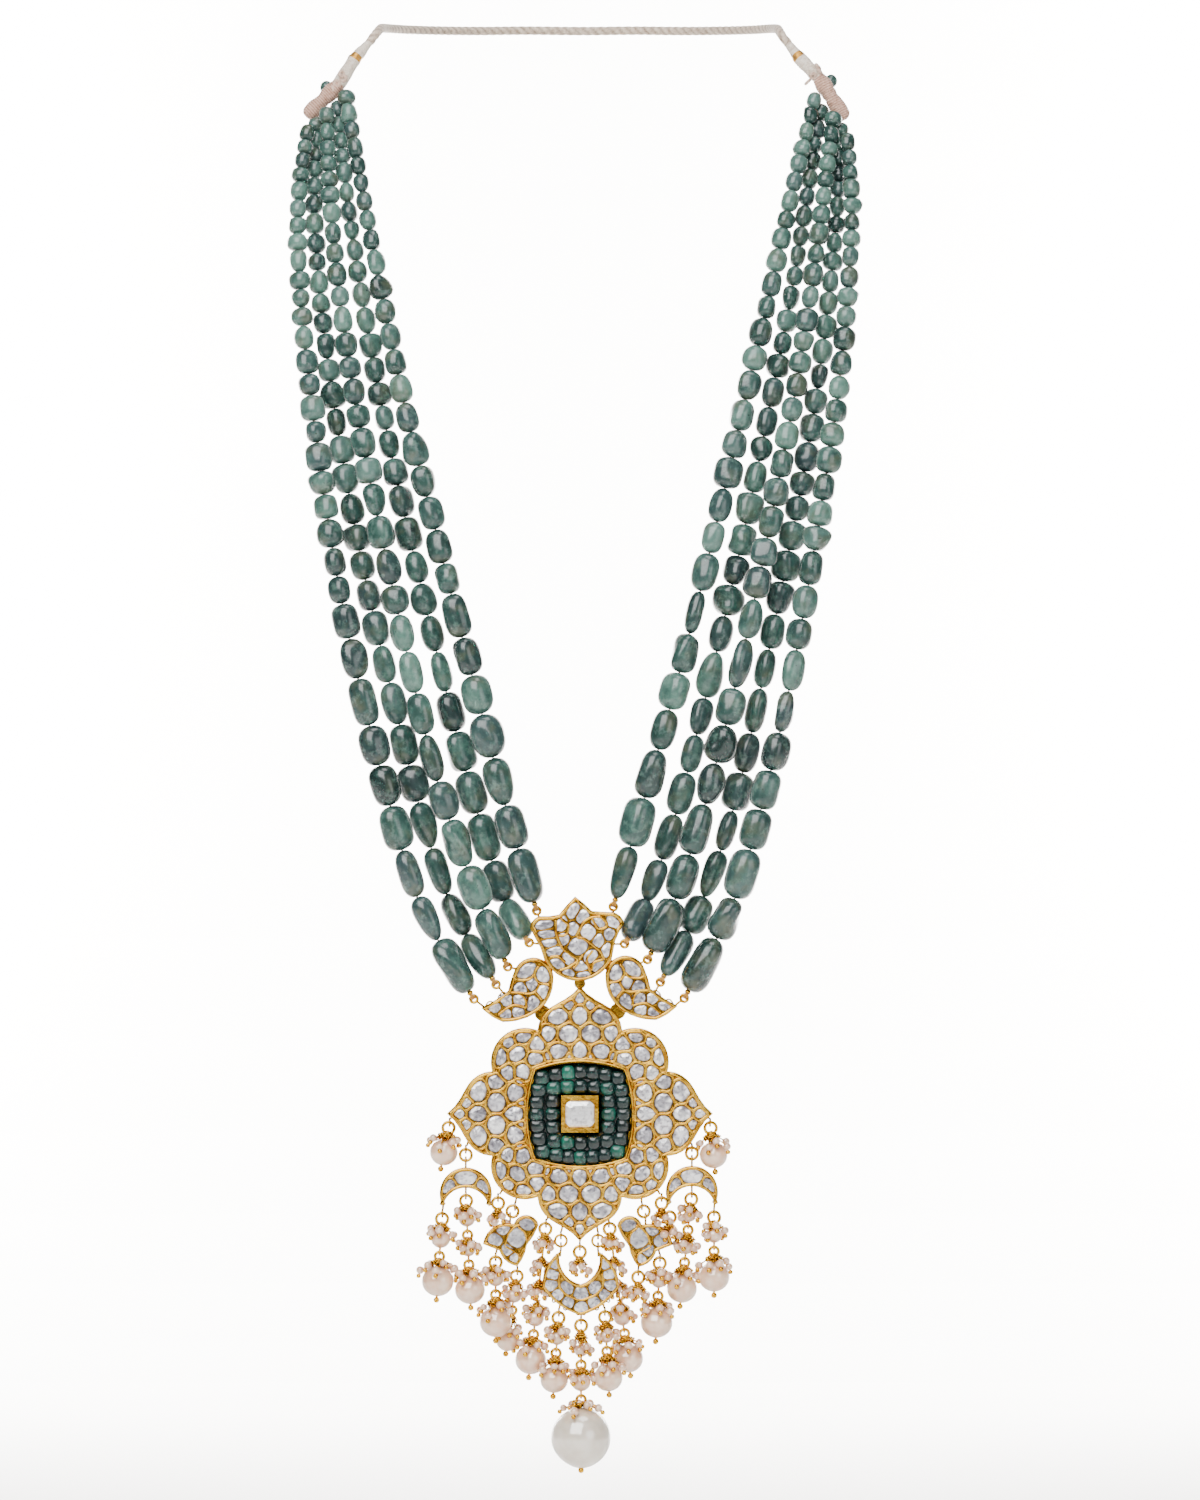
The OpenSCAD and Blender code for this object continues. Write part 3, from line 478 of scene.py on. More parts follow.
@dataclass(frozen=True)
class Emerald:
    """Tumbled emerald full of inclusions: milky green with pale wisps and dark specks under a wet polish."""
    name: str = "tumbled_emerald_included"
    dark: str = "#0f2623"
    mid: str = "#284640"
    light: str = "#567a6e"
    speck: str = "#060d0c"
    vein: str = "#86a99a"
    brown: float = 0.6

    def make(self) -> bpy.types.Material:
        """Builds the material from the values tint, grey and shift, which differ from bead to bead.

        Returns:
            The material.
        """
        t = Tree(self.name)
        apart = t.add("CombineXYZ", {0: t.value("shift"), 1: t.value("shift"), 2: 0.0}).outputs[0]
        where = t.add("VectorMath", {0: t.place(), 1: apart}, operation="ADD").outputs[0]
        cloud = t.noise(4.0, 4.0, 0.55, where)
        depth = t.math("ADD", t.span(cloud, 0.3, 0.7, -0.24, 0.24), t.value("tint"))
        body = t.ramp(depth, [(0.0, self.dark), (0.5, self.mid), (1.0, self.light)])
        dull = t.mix(t.value("grey"), body, linear("#36464b"))
        earthy = t.span(t.noise(5.0, 2.0, 0.5, where), 0.52, 0.7, 0.0, self.brown)
        olive = t.mix(earthy, dull, linear("#4d5340"))
        wisp = t.span(t.noise(2.2, 5.0, 0.6, where), 0.52, 0.72, 0.0, 0.26)
        veined = t.mix(wisp, olive, linear(self.vein))
        dots = t.span(t.noise(1.1, 2.0, 0.5, where), 0.68, 0.76, 0.0, 0.6)
        colour = t.mix(dots, veined, linear(self.speck))
        t.feed(t.shader, {"Base Color": colour, "Roughness": 0.27, "Specular IOR Level": 0.3,
                          "Coat Weight": 0.8, "Coat Roughness": 0.14, "Coat IOR": 1.5,
                          "Subsurface Weight": 0.12, "Subsurface Scale": 0.002,
                          "Subsurface Radius": (0.4, 1.0, 0.7)})
        t.bump(t.noise(2.4, 2.0, 0.5, where), 0.1, 0.4)
        return t.material


@dataclass(frozen=True)
class WoundThread:
    """Silk thread wound by hand: matt fibres with painted light along each turn and painted shade in the
    grooves between turns, with gold thread in a band.
    """
    name: str = "wound_silk_thread"
    silk: str = "#d6b09c"
    groove: str = "#a87e6b"
    zari: str = "#c08a35"
    white: str = "#e6dccd"

    def make(self) -> bpy.types.Material:
        """Builds the material from the values turn (0 in a groove, where the shade is painted), zari (1 on
        the gold band) and pale.

        Returns:
            The material.
        """
        t = Tree(self.name)
        # painted shade in the grooves and painted light on each turn of the thread
        silk = t.mix(t.value("turn"), linear(self.groove), linear(self.silk))
        silk = t.mix(t.value("pale"), silk, linear(self.white))
        fibre = t.ramp(t.noise(0.9, 5.0, 0.75), [(0.3, "#c4b2a6"), (0.6, "#ffffff")])
        colour = t.mix(t.value("zari"), t.mix(1.0, silk, fibre, "MULTIPLY"), linear(self.zari))
        t.feed(t.shader, {"Base Color": colour, "Metallic": t.span(t.value("zari"), 0.0, 1.0, 0.0, 0.8),
                          "Roughness": t.span(t.value("zari"), 0.0, 1.0, 0.75, 0.35), "Sheen Weight": 0.3})
        t.bump(t.noise(0.2, 2.0), 0.04, 0.6)
        return t.material


@dataclass(frozen=True)
class Matt:
    """Plain matt paper of the studio."""
    name: str
    code: str

    def make(self) -> bpy.types.Material:
        """Builds the material, without relief."""
        t = Tree(self.name)
        t.feed(t.shader, {"Base Color": linear(self.code), "Roughness": 0.9})
        return t.material


GOLD = SatinGold()
PLATE_GOLD = SatinGold("kundan_gold_plate", by_depth=True)
WIRE = SatinGold("drawn_gold_wire", "#e8b32a", "#6b4a10")
POLKI = Polki()
TABLE_CUT = Polki("polki_table_cut_foil_backed", 0.72)
PEARL = Pearl()
MAIN_PEARL = Pearl("large_baroque_pearl_nacre", "#e8dfd0", "#cdbfab", 5.0, "#b59a78")
EMERALD = Emerald()
MOSAIC = Emerald("polished_dark_emerald", "#010c0c", "#04211f", "#146350", "#010404", "#14463c", 0.0)
THREAD = WoundThread()
CORD = WoundThread("twisted_silk_cord", "#dccbb9", "#a08c7a")
MADE: dict[str, bpy.types.Material] = {}
# CAD nodes that stay in view
PLATE_NODES = ("pendant_frame", "crescent_left", "crescent_right", "trefoil_left", "trefoil_right",
               "crescent_centre")
WIRE_NODES = ("side_rings", "crescent_rings", "pins_left", "pins_right", "crescent_pins", "main_drop_pins")


def finish_of(finish: object) -> bpy.types.Material:
    """The material of a finish, made once."""
    if finish.name not in MADE:
        MADE[finish.name] = finish.make()
    return MADE[finish.name]


def add_piece(name: str, shape: Shape, finish: object, body: Body = Body.NECKLACE,
              replaces: tuple[str, ...] = (), smooth: bool = True) -> bpy.types.Object:
    """Puts a shape into the scene as one piece.

    Args:
        name: the piece's name.
        shape: its surface in mm.
        finish: what it is made of.
        body: the body that it rides on.
        replaces: CAD nodes that it stands for.
        smooth: whether faces shade into each other.
    Returns:
        The object.
    """
    mesh = bpy.data.meshes.new(name)
    mesh.vertices.add(len(shape.verts))
    mesh.vertices.foreach_set("co", (shape.verts * MM).astype(np.float32).ravel())
    sizes = np.concatenate([np.full(len(f), f.shape[1]) for f in shape.faces])
    corners = np.concatenate([f.ravel() for f in shape.faces])
    mesh.loops.add(len(corners))
    mesh.loops.foreach_set("vertex_index", corners.astype(np.int32))
    mesh.polygons.add(len(sizes))
    mesh.polygons.foreach_set("loop_start", np.concatenate([[0], np.cumsum(sizes)[:-1]]).astype(np.int32))
    mesh.polygons.foreach_set("use_smooth", np.full(len(sizes), smooth))
    for key, numbers in shape.values.items():
        mesh.attributes.new(key, "FLOAT", "POINT").data.foreach_set("value", numbers.astype(np.float32))
    mesh.update(calc_edges=True)
    mesh.validate()
    mesh.materials.append(finish_of(finish))
    made = bpy.data.objects.new(name, mesh)
    bpy.context.scene.collection.objects.link(made)
    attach(made, body.value)
    if replaces:
        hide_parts(*replaces)
    LOG.info("%s: %d faces", name, len(sizes))
    return made


def paint_node(node: str, finish: object) -> None:
    """Gives a CAD node that stays in view its material."""
    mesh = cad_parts[node].data
    mesh.materials.clear()
    mesh.materials.append(finish_of(finish))


# The pendant's own axes

SIDES = ((-1, "left"), (1, "right"))
FLOWER_Z = -276.0
BACK_Y = -105.0
PLATE_T = 3.2
MID = PLATE_T / 2
SMALL_FACE = MID + 1.2
EYE_R = 0.9
RING_R = 1.45
SMALL_RING_R = 1.1
SMALL_EYE_R = 0.62
# rings between the flower and its side crescents and trefoils: rows of u, v
SIDE_RINGS = [(-28.3, -10.35), (27.8, -9.95), (-16.7, -24.35), (15.85, -24.35)]


def placed(u: Array, v: Array, w: Array) -> Array:
    """Places in the row frame from the pendant's own axes, in mm."""
    u, v, w = np.broadcast_arrays(u, v, w)
    return np.stack([u, BACK_Y - w, FLOWER_Z + v], -1).astype(float)


def turned(p: Array, degrees: Array) -> Array:
    """Plane points turned counter-clockwise."""
    c, s = np.cos(np.radians(degrees)), np.sin(np.radians(degrees))
    return np.stack([p[..., 0] * c - p[..., 1] * s, p[..., 0] * s + p[..., 1] * c], -1)


def left_of(way: Array) -> Array:
    """Plane directions turned a quarter circle counter-clockwise."""
    return np.stack([-way[..., 1], way[..., 0]], -1)


def arc_run(a: Array, b: Array, bulge: float, step: float = 6.0) -> Array:
    """Points from a up to just before b along an arc.

    Args:
        a: its start.
        b: its end.
        bulge: the tangent of a quarter of its angle; near 0 for a straight line.
        step: degrees from point to point.
    Returns:
        Plane points shaped (n, 2).
    """
    if abs(bulge) < 0.01:
        n = max(1, int(np.linalg.norm(b - a) / 0.6))
        return a + (b - a) * (np.arange(n) / n)[:, None]
    sweep = 4 * math.atan(bulge)
    n = max(2, math.ceil(abs(math.degrees(sweep)) / step))
    half = (b - a) / 2
    centre = a + half + np.array([-half[1], half[0]]) / math.tan(sweep / 2)
    return centre + turned((a - centre)[None], np.degrees(sweep * np.arange(n) / n))


def outline(rows: list[list[float]]) -> Array:
    """Closed outline from rows of u, v and bulge."""
    pts = [np.array(r[:2], float) for r in rows]
    return np.concatenate([arc_run(pts[i], pts[(i + 1) % len(rows)], rows[i][2]) for i in range(len(rows))])


# Stones: rows of u, v, width, height, turn, taper
PETAL = np.array([
    [0, 28.9, 2.3, 3.0, 0, 0.2], [-2.6, 27.0, 2.4, 2.2, 25, 0], [2.6, 27.0, 2.4, 2.2, -25, 0],
    [-5.6, 24.3, 4.7, 3.9, 10, 0], [0, 24.5, 3.3, 4.3, 0, -0.1], [5.6, 24.3, 4.7, 3.9, -10, 0],
    [-7.9, 19.9, 3.0, 3.3, 0, -0.35], [-2.75, 19.9, 4.2, 3.7, 0, 0],
    [2.75, 19.9, 4.2, 3.7, 0, 0], [7.9, 19.9, 3.0, 3.3, 0, -0.35],
    [-5.3, 15.3, 4.1, 3.2, 10, 0], [0, 15.6, 3.1, 4.3, 0, 0.4], [5.3, 15.3, 4.1, 3.2, -10, 0],
    [-7.9, 14.4, 1.0, 1.0, 0, 0], [7.9, 14.4, 1.0, 1.0, 0, 0],
    [-2.6, 14.1, 0.9, 0.9, 0, 0], [2.6, 14.1, 0.9, 0.9, 0, 0]])
LOBE = np.array([
    [13.9, 19.2, 3.3, 2.3, -10, 0.2], [17.9, 17.8, 2.4, 2.6, -35, 0.1],
    [15.6, 14.9, 3.5, 2.8, -35, 0], [19.6, 14.2, 2.3, 4.0, 10, 0.25],
    [10.6, 17.3, 2.9, 3.3, 0, 0.15], [10.9, 13.6, 3.3, 3.2, 0, 0],
    [17.9, 10.2, 2.8, 2.9, 0, 0.15], [14.2, 10.3, 3.4, 3.3, 90, 0]])
CREST = np.array([
    [-1.5, 50.3, 1.9, 3.0, -28, 0], [0.6, 49.0, 2.2, 2.9, -28, 0], [-4.4, 47.0, 1.9, 3.0, -15, 0.3],
    [-1.8, 45.8, 2.2, 2.5, -20, 0], [-3.8, 43.5, 2.2, 2.4, 0, 0], [-8.8, 46.8, 3.4, 1.8, 8, 0],
    [-8.2, 44.5, 3.2, 1.7, 0, 0], [-7.5, 42.4, 2.7, 1.7, 0, 0], [-6.2, 40.3, 3.3, 1.8, 8, 0],
    [-2.9, 38.6, 2.1, 2.9, 35, 0], [-5.4, 37.2, 2.8, 1.8, -25, 0], [-0.6, 41.6, 3.8, 3.4, 0, 0],
    [2.2, 45.1, 3.0, 2.9, -20, 0], [4.7, 47.3, 2.9, 1.9, -15, 0], [8.2, 47.5, 2.5, 2.3, -35, 0],
    [7.3, 44.6, 2.0, 2.8, -20, 0], [4.8, 43.0, 2.1, 2.5, 0, 0], [6.8, 40.7, 1.9, 2.9, -12, 0],
    [2.6, 38.8, 2.0, 2.9, -35, 0], [4.4, 36.8, 1.8, 2.6, -35, 0], [0.0, 36.5, 2.8, 1.9, 0, 0.2],
    [-2.7, 34.9, 2.5, 1.4, -15, 0], [0.9, 34.4, 3.2, 1.4, 3, 0]])
LEAF = np.array([
    [13.2, 36.1, 3.0, 4.0, 60, 0.1], [8.9, 34.8, 2.2, 2.8, -10, 0], [8.8, 30.8, 2.7, 3.0, 20, 0],
    [11.8, 32.7, 2.2, 2.2, 0, 0], [14.3, 31.5, 2.2, 1.9, -20, 0], [11.4, 27.7, 2.3, 3.2, 25, 0],
    [14.7, 28.6, 2.9, 2.4, 10, 0], [17.9, 28.6, 2.3, 2.1, -15, 0], [20.9, 26.8, 2.7, 1.8, -30, 0],
    [15.2, 25.5, 2.3, 2.3, 0, 0], [18.2, 25.1, 2.5, 2.0, -10, 0]])
SIDE_CRESCENT = np.array([
    [-4.3, 1.7, 1.6, 3.0, -45, 0.1], [0, 3.9, 4.3, 2.7, 0, 0], [4.3, 1.7, 1.6, 3.0, 45, 0.1]])
TREFOIL = np.array([
    [-2.2, 3.3, 2.6, 1.9, 0, 0], [0.5, -0.1, 3.8, 3.9, 10, 0], [3.6, 1.9, 1.9, 2.7, 55, 0],
    [5.7, -0.6, 2.0, 2.5, 40, 0], [2.6, -3.1, 1.8, 2.2, -40, 0], [1.1, -5.3, 1.4, 1.8, -15, 0]])
HORSESHOE = np.array([
    [-6.2, -37.4, 1.7, 2.1, -10, 0.1], [-6.9, -39.9, 1.9, 2.1, 0, 0], [-7.2, -42.6, 2.1, 2.2, 15, 0],
    [-5.5, -45.0, 2.2, 2.1, 40, 0], [-3.0, -46.9, 2.3, 1.9, -30, 0], [0.3, -48.1, 2.5, 2.0, 0, 0],
    [3.6, -46.9, 2.3, 1.9, 30, 0], [6.1, -45.0, 2.2, 2.1, -40, 0], [7.7, -42.6, 2.1, 2.2, -15, 0],
    [7.4, -39.9, 1.9, 2.1, 0, 0], [6.5, -37.4, 1.6, 2.1, 10, 0.1],
    [-3.2, -43.4, 1.9, 2.2, 30, 0], [0.3, -44.7, 2.4, 1.9, 0, 0], [3.8, -43.4, 1.9, 2.2, -30, 0]])

# Outlines: rows of u, v, bulge of the side that starts there
CREST_EDGE = [[-1.2, 53.9, 0.04], [-5.2, 49.4, -0.08], [-9.9, 49.0, 0.32], [-12.4, 46.2, 0.03],
              [-9.8, 41.2, 0], [-8.8, 38.0, 0.25], [-0.6, 32.8, 0.28], [7.9, 38.1, 0], [8.8, 42.8, -0.05],
              [11.0, 47.2, 0.3], [8.3, 50.0, -0.02], [3.0, 50.3, 0.06]]
LEAF_EDGE = [[24.2, 26.7, -0.05], [17.6, 31.0, 0.05], [16.2, 35.6, 0.92], [6.3, 33.6, 0.22],
             [9.8, 26.1, 0.17], [18.9, 23.2, 0.12]]
TREFOIL_EDGE = [[8.8, -1.7, 0.46], [1.1, 3.3, 0.75], [-5.1, 3.1, 0.1], [-2.2, -1.9, 0.15],
                [0.2, -7.2, 0.3], [4.7, -3.3, 0]]
HORSESHOE_EDGE = [[0.3, -50.2, 0.18], [9.8, -43.2, 0.28], [4.6, -34.2, -0.42], [0.2, -42.4, -0.42],
                  [-4.9, -34.2, 0.28], [-9.3, -43.2, 0.18]]
LEFT_LEAF_SHIFT = np.array([-0.2, -0.5])
CRESCENT_AT = {-1: np.array([-28.3, -19.9]), 1: np.array([27.8, -19.5])}
TREFOIL_AT = {-1: np.array([-15.3, -30.7]), 1: np.array([14.3, -30.9])}
# the flower: how far its petals reach, and its four round lobes
TIP_HIGH, TIP_WIDE = 31.7, 33.0
LOBE_AT, LOBE_R = (13.6, 12.8), 8.5
# the emerald field: half its width on the flower, and the radius of its flat sides
FIELD_HALF, FIELD_SIDE_R = 12.8, 32
# side crescents: a disc, less a second one that lies lower
MOON_R, MOON_CUT_R, MOON_CUT_LOW = 6.5, 5.75, 4.3


def spun(stones: Array, degrees: float) -> Array:
    """Stones turned about the flower's centre.

    Args:
        stones: rows of u, v, width, height, turn, taper.
        degrees: the turn, counter-clockwise.
    Returns:
        The turned rows.
    """
    out = stones.copy()
    out[:, :2] = turned(stones[:, :2], degrees)
    out[:, 4] += degrees
    return out


def mirrored(stones: Array) -> Array:
    """Stones mirrored left to right."""
    return stones * np.array([-1, 1, 1, 1, -1, 1])


def moved(stones: Array, by: Array) -> Array:
    """Stones moved in the plane."""
    out = stones.copy()
    out[:, :2] += by
    return out


def flower_stones() -> Array:
    """All stones of the flower: four petals, the side ones a little longer, and four lobes."""
    side = PETAL.copy()
    side[:, 1] *= 1 + (TIP_WIDE - TIP_HIGH) / TIP_HIGH
    return np.concatenate([PETAL, spun(PETAL, 180), spun(side, 90), spun(side, -90), LOBE, mirrored(LOBE),
                           spun(LOBE, 180), spun(mirrored(LOBE), 180)])


def stone_edge(stones: Array, angles: Array) -> Array:
    """Points of each stone's outline: an ellipse narrowed by its taper, turned and put in place.

    Args:
        stones: rows of u, v, width, height, turn, taper.
        angles: angles round the stones in radians, shaped (n, k).
    Returns:
        Plane points shaped (n, k, 2).
    """
    s = stones[:, None]
    x = s[..., 2] / 2 * np.cos(angles) * (1 - s[..., 5] * np.sin(angles))
    y = s[..., 3] / 2 * np.sin(angles)
    return s[..., :2] + turned(np.stack([x, y], -1), s[..., 4])


def cell_reach(stones: Array, angles: Array, cap: float, edge: Array, margin: float) -> Array:
    """How far past each stone's outline the middle of the gold wall runs, at each angle.

    The distance from a point to an outline is measured along the line to that stone's centre, as
    |p - c| * (1 - 1 / level), with level 1 on the outline. The wall runs where the distances to two stones
    are the same, so neighbours share one wall. It never runs past the cap, nor into the plate's rims.

    Args:
        stones: rows of u, v, width, height, turn, taper.
        angles: angles round the stones, shaped (n, k).
        cap: greatest reach in mm.
        edge: points of the plate's outlines, shaped (m, 2).
        margin: how far from them the wall stays.
    Returns:
        Reach shaped (n, k).
    """
    steps = np.linspace(0.05, cap, 16)
    base = stone_edge(stones, angles)
    out = unit(base - stones[:, None, :2])
    reach = np.empty(angles.shape)
    for own in range(len(stones)):
        p = base[own][:, None] + out[own][:, None] * steps[None, :, None]
        away = p[:, :, None] - stones[:, :2]
        local = turned(away, -stones[:, 4])
        high = local[..., 1] / (stones[:, 3] / 2)
        wide = local[..., 0] / (stones[:, 2] / 2 * (1 - stones[:, 5] * np.clip(high, -1, 1)))
        far = np.linalg.norm(away, axis=-1) * (1 - 1 / np.maximum(np.hypot(wide, high), 1e-6))
        far[..., own] = np.inf
        free = (far.min(-1) > steps) & (np.linalg.norm(p[:, :, None] - edge, axis=-1).min(-1) > margin)
        reach[own] = np.where(free.all(-1), cap, steps[np.argmin(free, axis=-1)])
    return (np.roll(reach, 1, 1) + 2 * reach + np.roll(reach, -1, 1)) / 4


# cross-sections of raised gold: rows of outward share of the half width, share of the height
CELL_SECTION = np.array([[-1, -0.3], [-0.9, 0.5], [-0.45, 0.92], [0.1, 1.0], [0.7, 0.75], [1.1, -0.3]])
RIM_SECTION = np.array([[1, -0.4], [0.85, 0.5], [0.3, 1.0], [-0.3, 1.0], [-0.85, 0.5], [-1, -0.4]])
RIB_SECTION = np.array([[1, -0.6], [0.85, 0.5], [0.35, 1.0], [-0.35, 1.0], [-0.85, 0.5], [-1, -0.6]])


def raised(line: Array, out: Array, section: Array, half: float, face: float, high: float) -> Array:
    """Carries a cross-section along lines on a plate's face.

    Args:
        line: plane points, shaped (..., k, 2).
        out: the section's outward direction at each of them.
        section: rows of outward share and height share.
        half: half the width.
        face: height of the plate's face.
        high: height over the face.
    Returns:
        Places shaped (..., k, rows of the section, 3).
    """
    q = line[..., None, :] + out[..., None, :] * section[:, :1] * half
    return placed(q[..., 0], q[..., 1], face + section[:, 1] * high)


@dataclass
class StoneField:
    """A field of polki that fill their cells, in raised gold walls on one plate."""
    name: str
    stones: Array
    face: float
    nodes: tuple[str, ...]
    edge: Array
    body: Body = Body.NECKLACE
    stone_rise: float = 0.5
    wall_high: float = 0.7
    wall_half: float = 0.44
    cap: float = 0.95
    margin: float = 0.9
    facets: int = 14
    # least painted shade all over the walls; a high one paints the seams between close stones dark
    wall_deep: float = 0.0
    seed: int = 1

    def wall_line(self, angles: Array, short: float = 0.0) -> tuple[Array, Array]:
        """Outlines of the stones, and of the cells that they fill.

        Args:
            angles: angles round the stones, shaped (n, k).
            short: how far inside the middle of the gold walls the second ones stay.
        Returns:
            Both as plane points shaped (n, k, 2).
        """
        base = stone_edge(self.stones, angles)
        reach = cell_reach(self.stones, angles, self.cap, self.edge, self.margin)[..., None] - short
        return base, base + unit(base - self.stones[:, None, :2]) * reach

    def cut(self) -> Shape:
        """Stones: a girdle in the cell, an irregular ring of crown facets, and a tilted table.

        Returns:
            The stones with values edge (1 at the girdle, where shade is painted in the seam) and shade (a
            painted tone at each corner, from shaded grey to a white glint).
        """
        rng = np.random.default_rng(self.seed)
        n, k = len(self.stones), self.facets
        at = self.stones[:, None, :2]
        a = circle(k) + rng.uniform(0, 1, (n, 1)) + rng.normal(0, 0.07, (n, k))
        base, line = self.wall_line(a, self.wall_half * 0.8)
        centre = at + rng.normal(0, 0.06, (n, 1, 2)) * self.stones[:, None, 2:3]
        crown_share = rng.uniform(0.8, 0.88, (n, k, 1))
        table_share = rng.uniform(0.42, 0.62, (n, 1, 1)) + rng.normal(0, 0.05, (n, k, 1))
        # rows of outline, height over the face, value edge
        levels = [(base, -0.9, 1.0), (line, 0.02, 1.0), (centre + (line - centre) * crown_share, 0.3, 0.55),
                  (centre + (line - centre) * table_share, self.stone_rise, 0.0)]
        tilt = rng.normal(0, 0.035, (n, 1, 2))
        rows = []
        for pts, high, _ in levels:
            lean = ((pts - at) * tilt).sum(-1) if high > 0.1 else 0
            rows.append(placed(pts[..., 0], pts[..., 1], self.face + high + lean))
        edge = np.array([level[2] for level in levels])[:, None]
        shade = np.clip(rng.normal(0.45, 0.2, (n, 1, 1)) + rng.normal(0, 0.34, (n, 4, k)), 0, 1)
        return surface(np.stack(rows, 1), edge=edge, shade=shade)

    def walls(self) -> Shape:
        """A low rounded wall round each cell, with painted shade at its foot; neighbours share its line.

        Returns:
            The walls with the value deep.
        """
        path = self.wall_line(np.tile(circle(36), (len(self.stones), 1)))[1]
        along = unit(np.roll(path, -1, 1) - np.roll(path, 1, 1))
        grid = raised(path, -left_of(along), CELL_SECTION, self.wall_half, self.face, self.wall_high)
        # painted shade: most at the foot beside the stone, some at the outer foot, none on the crest
        deep = np.maximum([1.0, 0.4, 0.0, 0.0, 0.15, 0.7], self.wall_deep)
        return surface(grid, ring_closed=True, deep=deep)

    def build(self) -> None:
        """Adds the stones and their settings."""
        add_piece(self.name + "_polki", self.cut(), POLKI, self.body, self.nodes, smooth=False)
        add_piece(self.name + "_settings", self.walls(), GOLD, self.body)


def rim(edge: Array, face: float, inset: float, half: float, high: float) -> Shape:
    """A rounded wall carried along the inside of a plate's outline.

    Args:
        edge: closed outline, counter-clockwise, shaped (k, 2).
        face: height of the plate's face.
        inset: how far inside the outline the wall's middle runs.
        half: half the wall's width.
        high: the wall's height over the face.
    Returns:
        The wall with the value deep.
    """
    inward = left_of(unit(np.roll(edge, -1, 0) - np.roll(edge, 1, 0)))
    grid = raised(edge + inward * inset, inward, RIM_SECTION, half, face, high)
    # painted shade at the foot of the wall, most on its inner side beside the stones
    return surface(grid[None], ring_closed=True, deep=np.array([1.0, 0.4, 0.0, 0.0, 0.1, 0.3]))


def flower_edge(count: int = 720) -> Array:
    """Outline of the flower by its radius at each angle: the furthest of four petals and four lobes.

    Args:
        count: points round it.
    Returns:
        Outline shaped (count, 2), counter-clockwise.
    """
    theta = circle(count)
    # half of a petal's edge: rows of out from the tip, across, bulge
    half = [[0, 0, -0.1], [3.3, 3.8, 0.02], [5.4, 7.4, 0.22], [10.8, 10.5, 0]]
    radius = np.zeros(count)
    for quarter, reach in ((0, TIP_WIDE), (1, TIP_HIGH), (2, TIP_WIDE), (3, TIP_HIGH)):
        pts = [np.array([reach - h[0], h[1]], float) for h in half]
        side = np.concatenate([arc_run(pts[i], pts[i + 1], half[i][2]) for i in range(3)] + [pts[3][None]])
        angle, length = np.arctan2(side[:, 1], side[:, 0]), np.hypot(side[:, 0], side[:, 1])
        off = np.abs((theta - quarter * np.pi / 2 + np.pi) % (2 * np.pi) - np.pi)
        radius = np.maximum(radius, np.where(off < angle[-1], np.interp(off, angle, length), 0))
    for su in (-1, 1):
        for sv in (-1, 1):
            at = np.array(LOBE_AT) * [su, sv]
            dot = at[0] * np.cos(theta) + at[1] * np.sin(theta)
            room = LOBE_R ** 2 - (at @ at) + dot ** 2
            reach = np.where((room > 0) & (dot > 0), dot + np.sqrt(np.maximum(room, 0)), 0)
            radius = np.maximum(radius, reach)
    return np.stack([radius * np.cos(theta), radius * np.sin(theta)], -1)


def field_edge(half: float = FIELD_HALF, count: int = 160) -> Array:
    """Outline of the emerald field: the nearest of four flat arcs at each angle.

    Args:
        half: half its width.
        count: points round it.
    Returns:
        Outline shaped (count, 2), counter-clockwise.
    """
    off = circle(count) - np.arange(4)[:, None] * np.pi / 2
    back = FIELD_SIDE_R - half
    radius = (-back * np.cos(off) + np.sqrt(FIELD_SIDE_R ** 2 - (back * np.sin(off)) ** 2)).min(0)
    return radius[:, None] * np.stack([np.cos(off[0]), np.sin(off[0])], -1)


def moon() -> Array:
    """Outline of a side crescent: the disc's arc, and back along the arc that is cut out of it.

    Returns:
        Outline shaped (148, 2), counter-clockwise.
    """
    high = (MOON_R ** 2 - MOON_CUT_R ** 2 + MOON_CUT_LOW ** 2) / (2 * MOON_CUT_LOW)
    outer, inner = math.asin(-high / MOON_R), math.asin((-high + MOON_CUT_LOW) / MOON_CUT_R)
    a = np.linspace(outer, np.pi - outer, 90)
    b = np.linspace(np.pi - inner, inner, 60)[1:-1]
    cut = MOON_CUT_R * np.stack([np.cos(b), np.sin(b)], -1) - [0, MOON_CUT_LOW]
    return np.concatenate([MOON_R * np.stack([np.cos(a), np.sin(a)], -1), cut])


# Ribs that part the fields of stones: corners in u, v
CREST_RIBS = (((-6.0, 48.3), (-6.0, 45.0), (-4.5, 41.2), (-2.2, 39.3), (0.1, 38.1), (-1.7, 36.0)),
              ((-4.9, 48.6), (-2.6, 46.8), (-3.4, 44.2), (-5.4, 44.2)),
              ((5.4, 49.0), (2.8, 48.8), (0.9, 47.7), (-0.3, 45.4), (-1.0, 43.9)),
              ((2.9, 48.7), (4.6, 45.7), (6.6, 46.2), (6.9, 47.3), (5.0, 49.0)),
              ((-1.0, 43.9), (1.2, 43.4), (3.2, 41.9), (5.1, 40.4), (6.2, 38.1)),
              ((0.9, 39.6), (-0.7, 37.7), (-3.0, 36.2), (-5.2, 35.6)),
              ((-7.6, 38.9), (-5.3, 39.2), (-3.4, 37.5)),
              ((3.4, 40.6), (1.6, 38.6), (2.2, 36.0), (2.9, 34.6)),
              ((5.9, 38.3), (3.3, 37.6), (2.8, 35.4)))
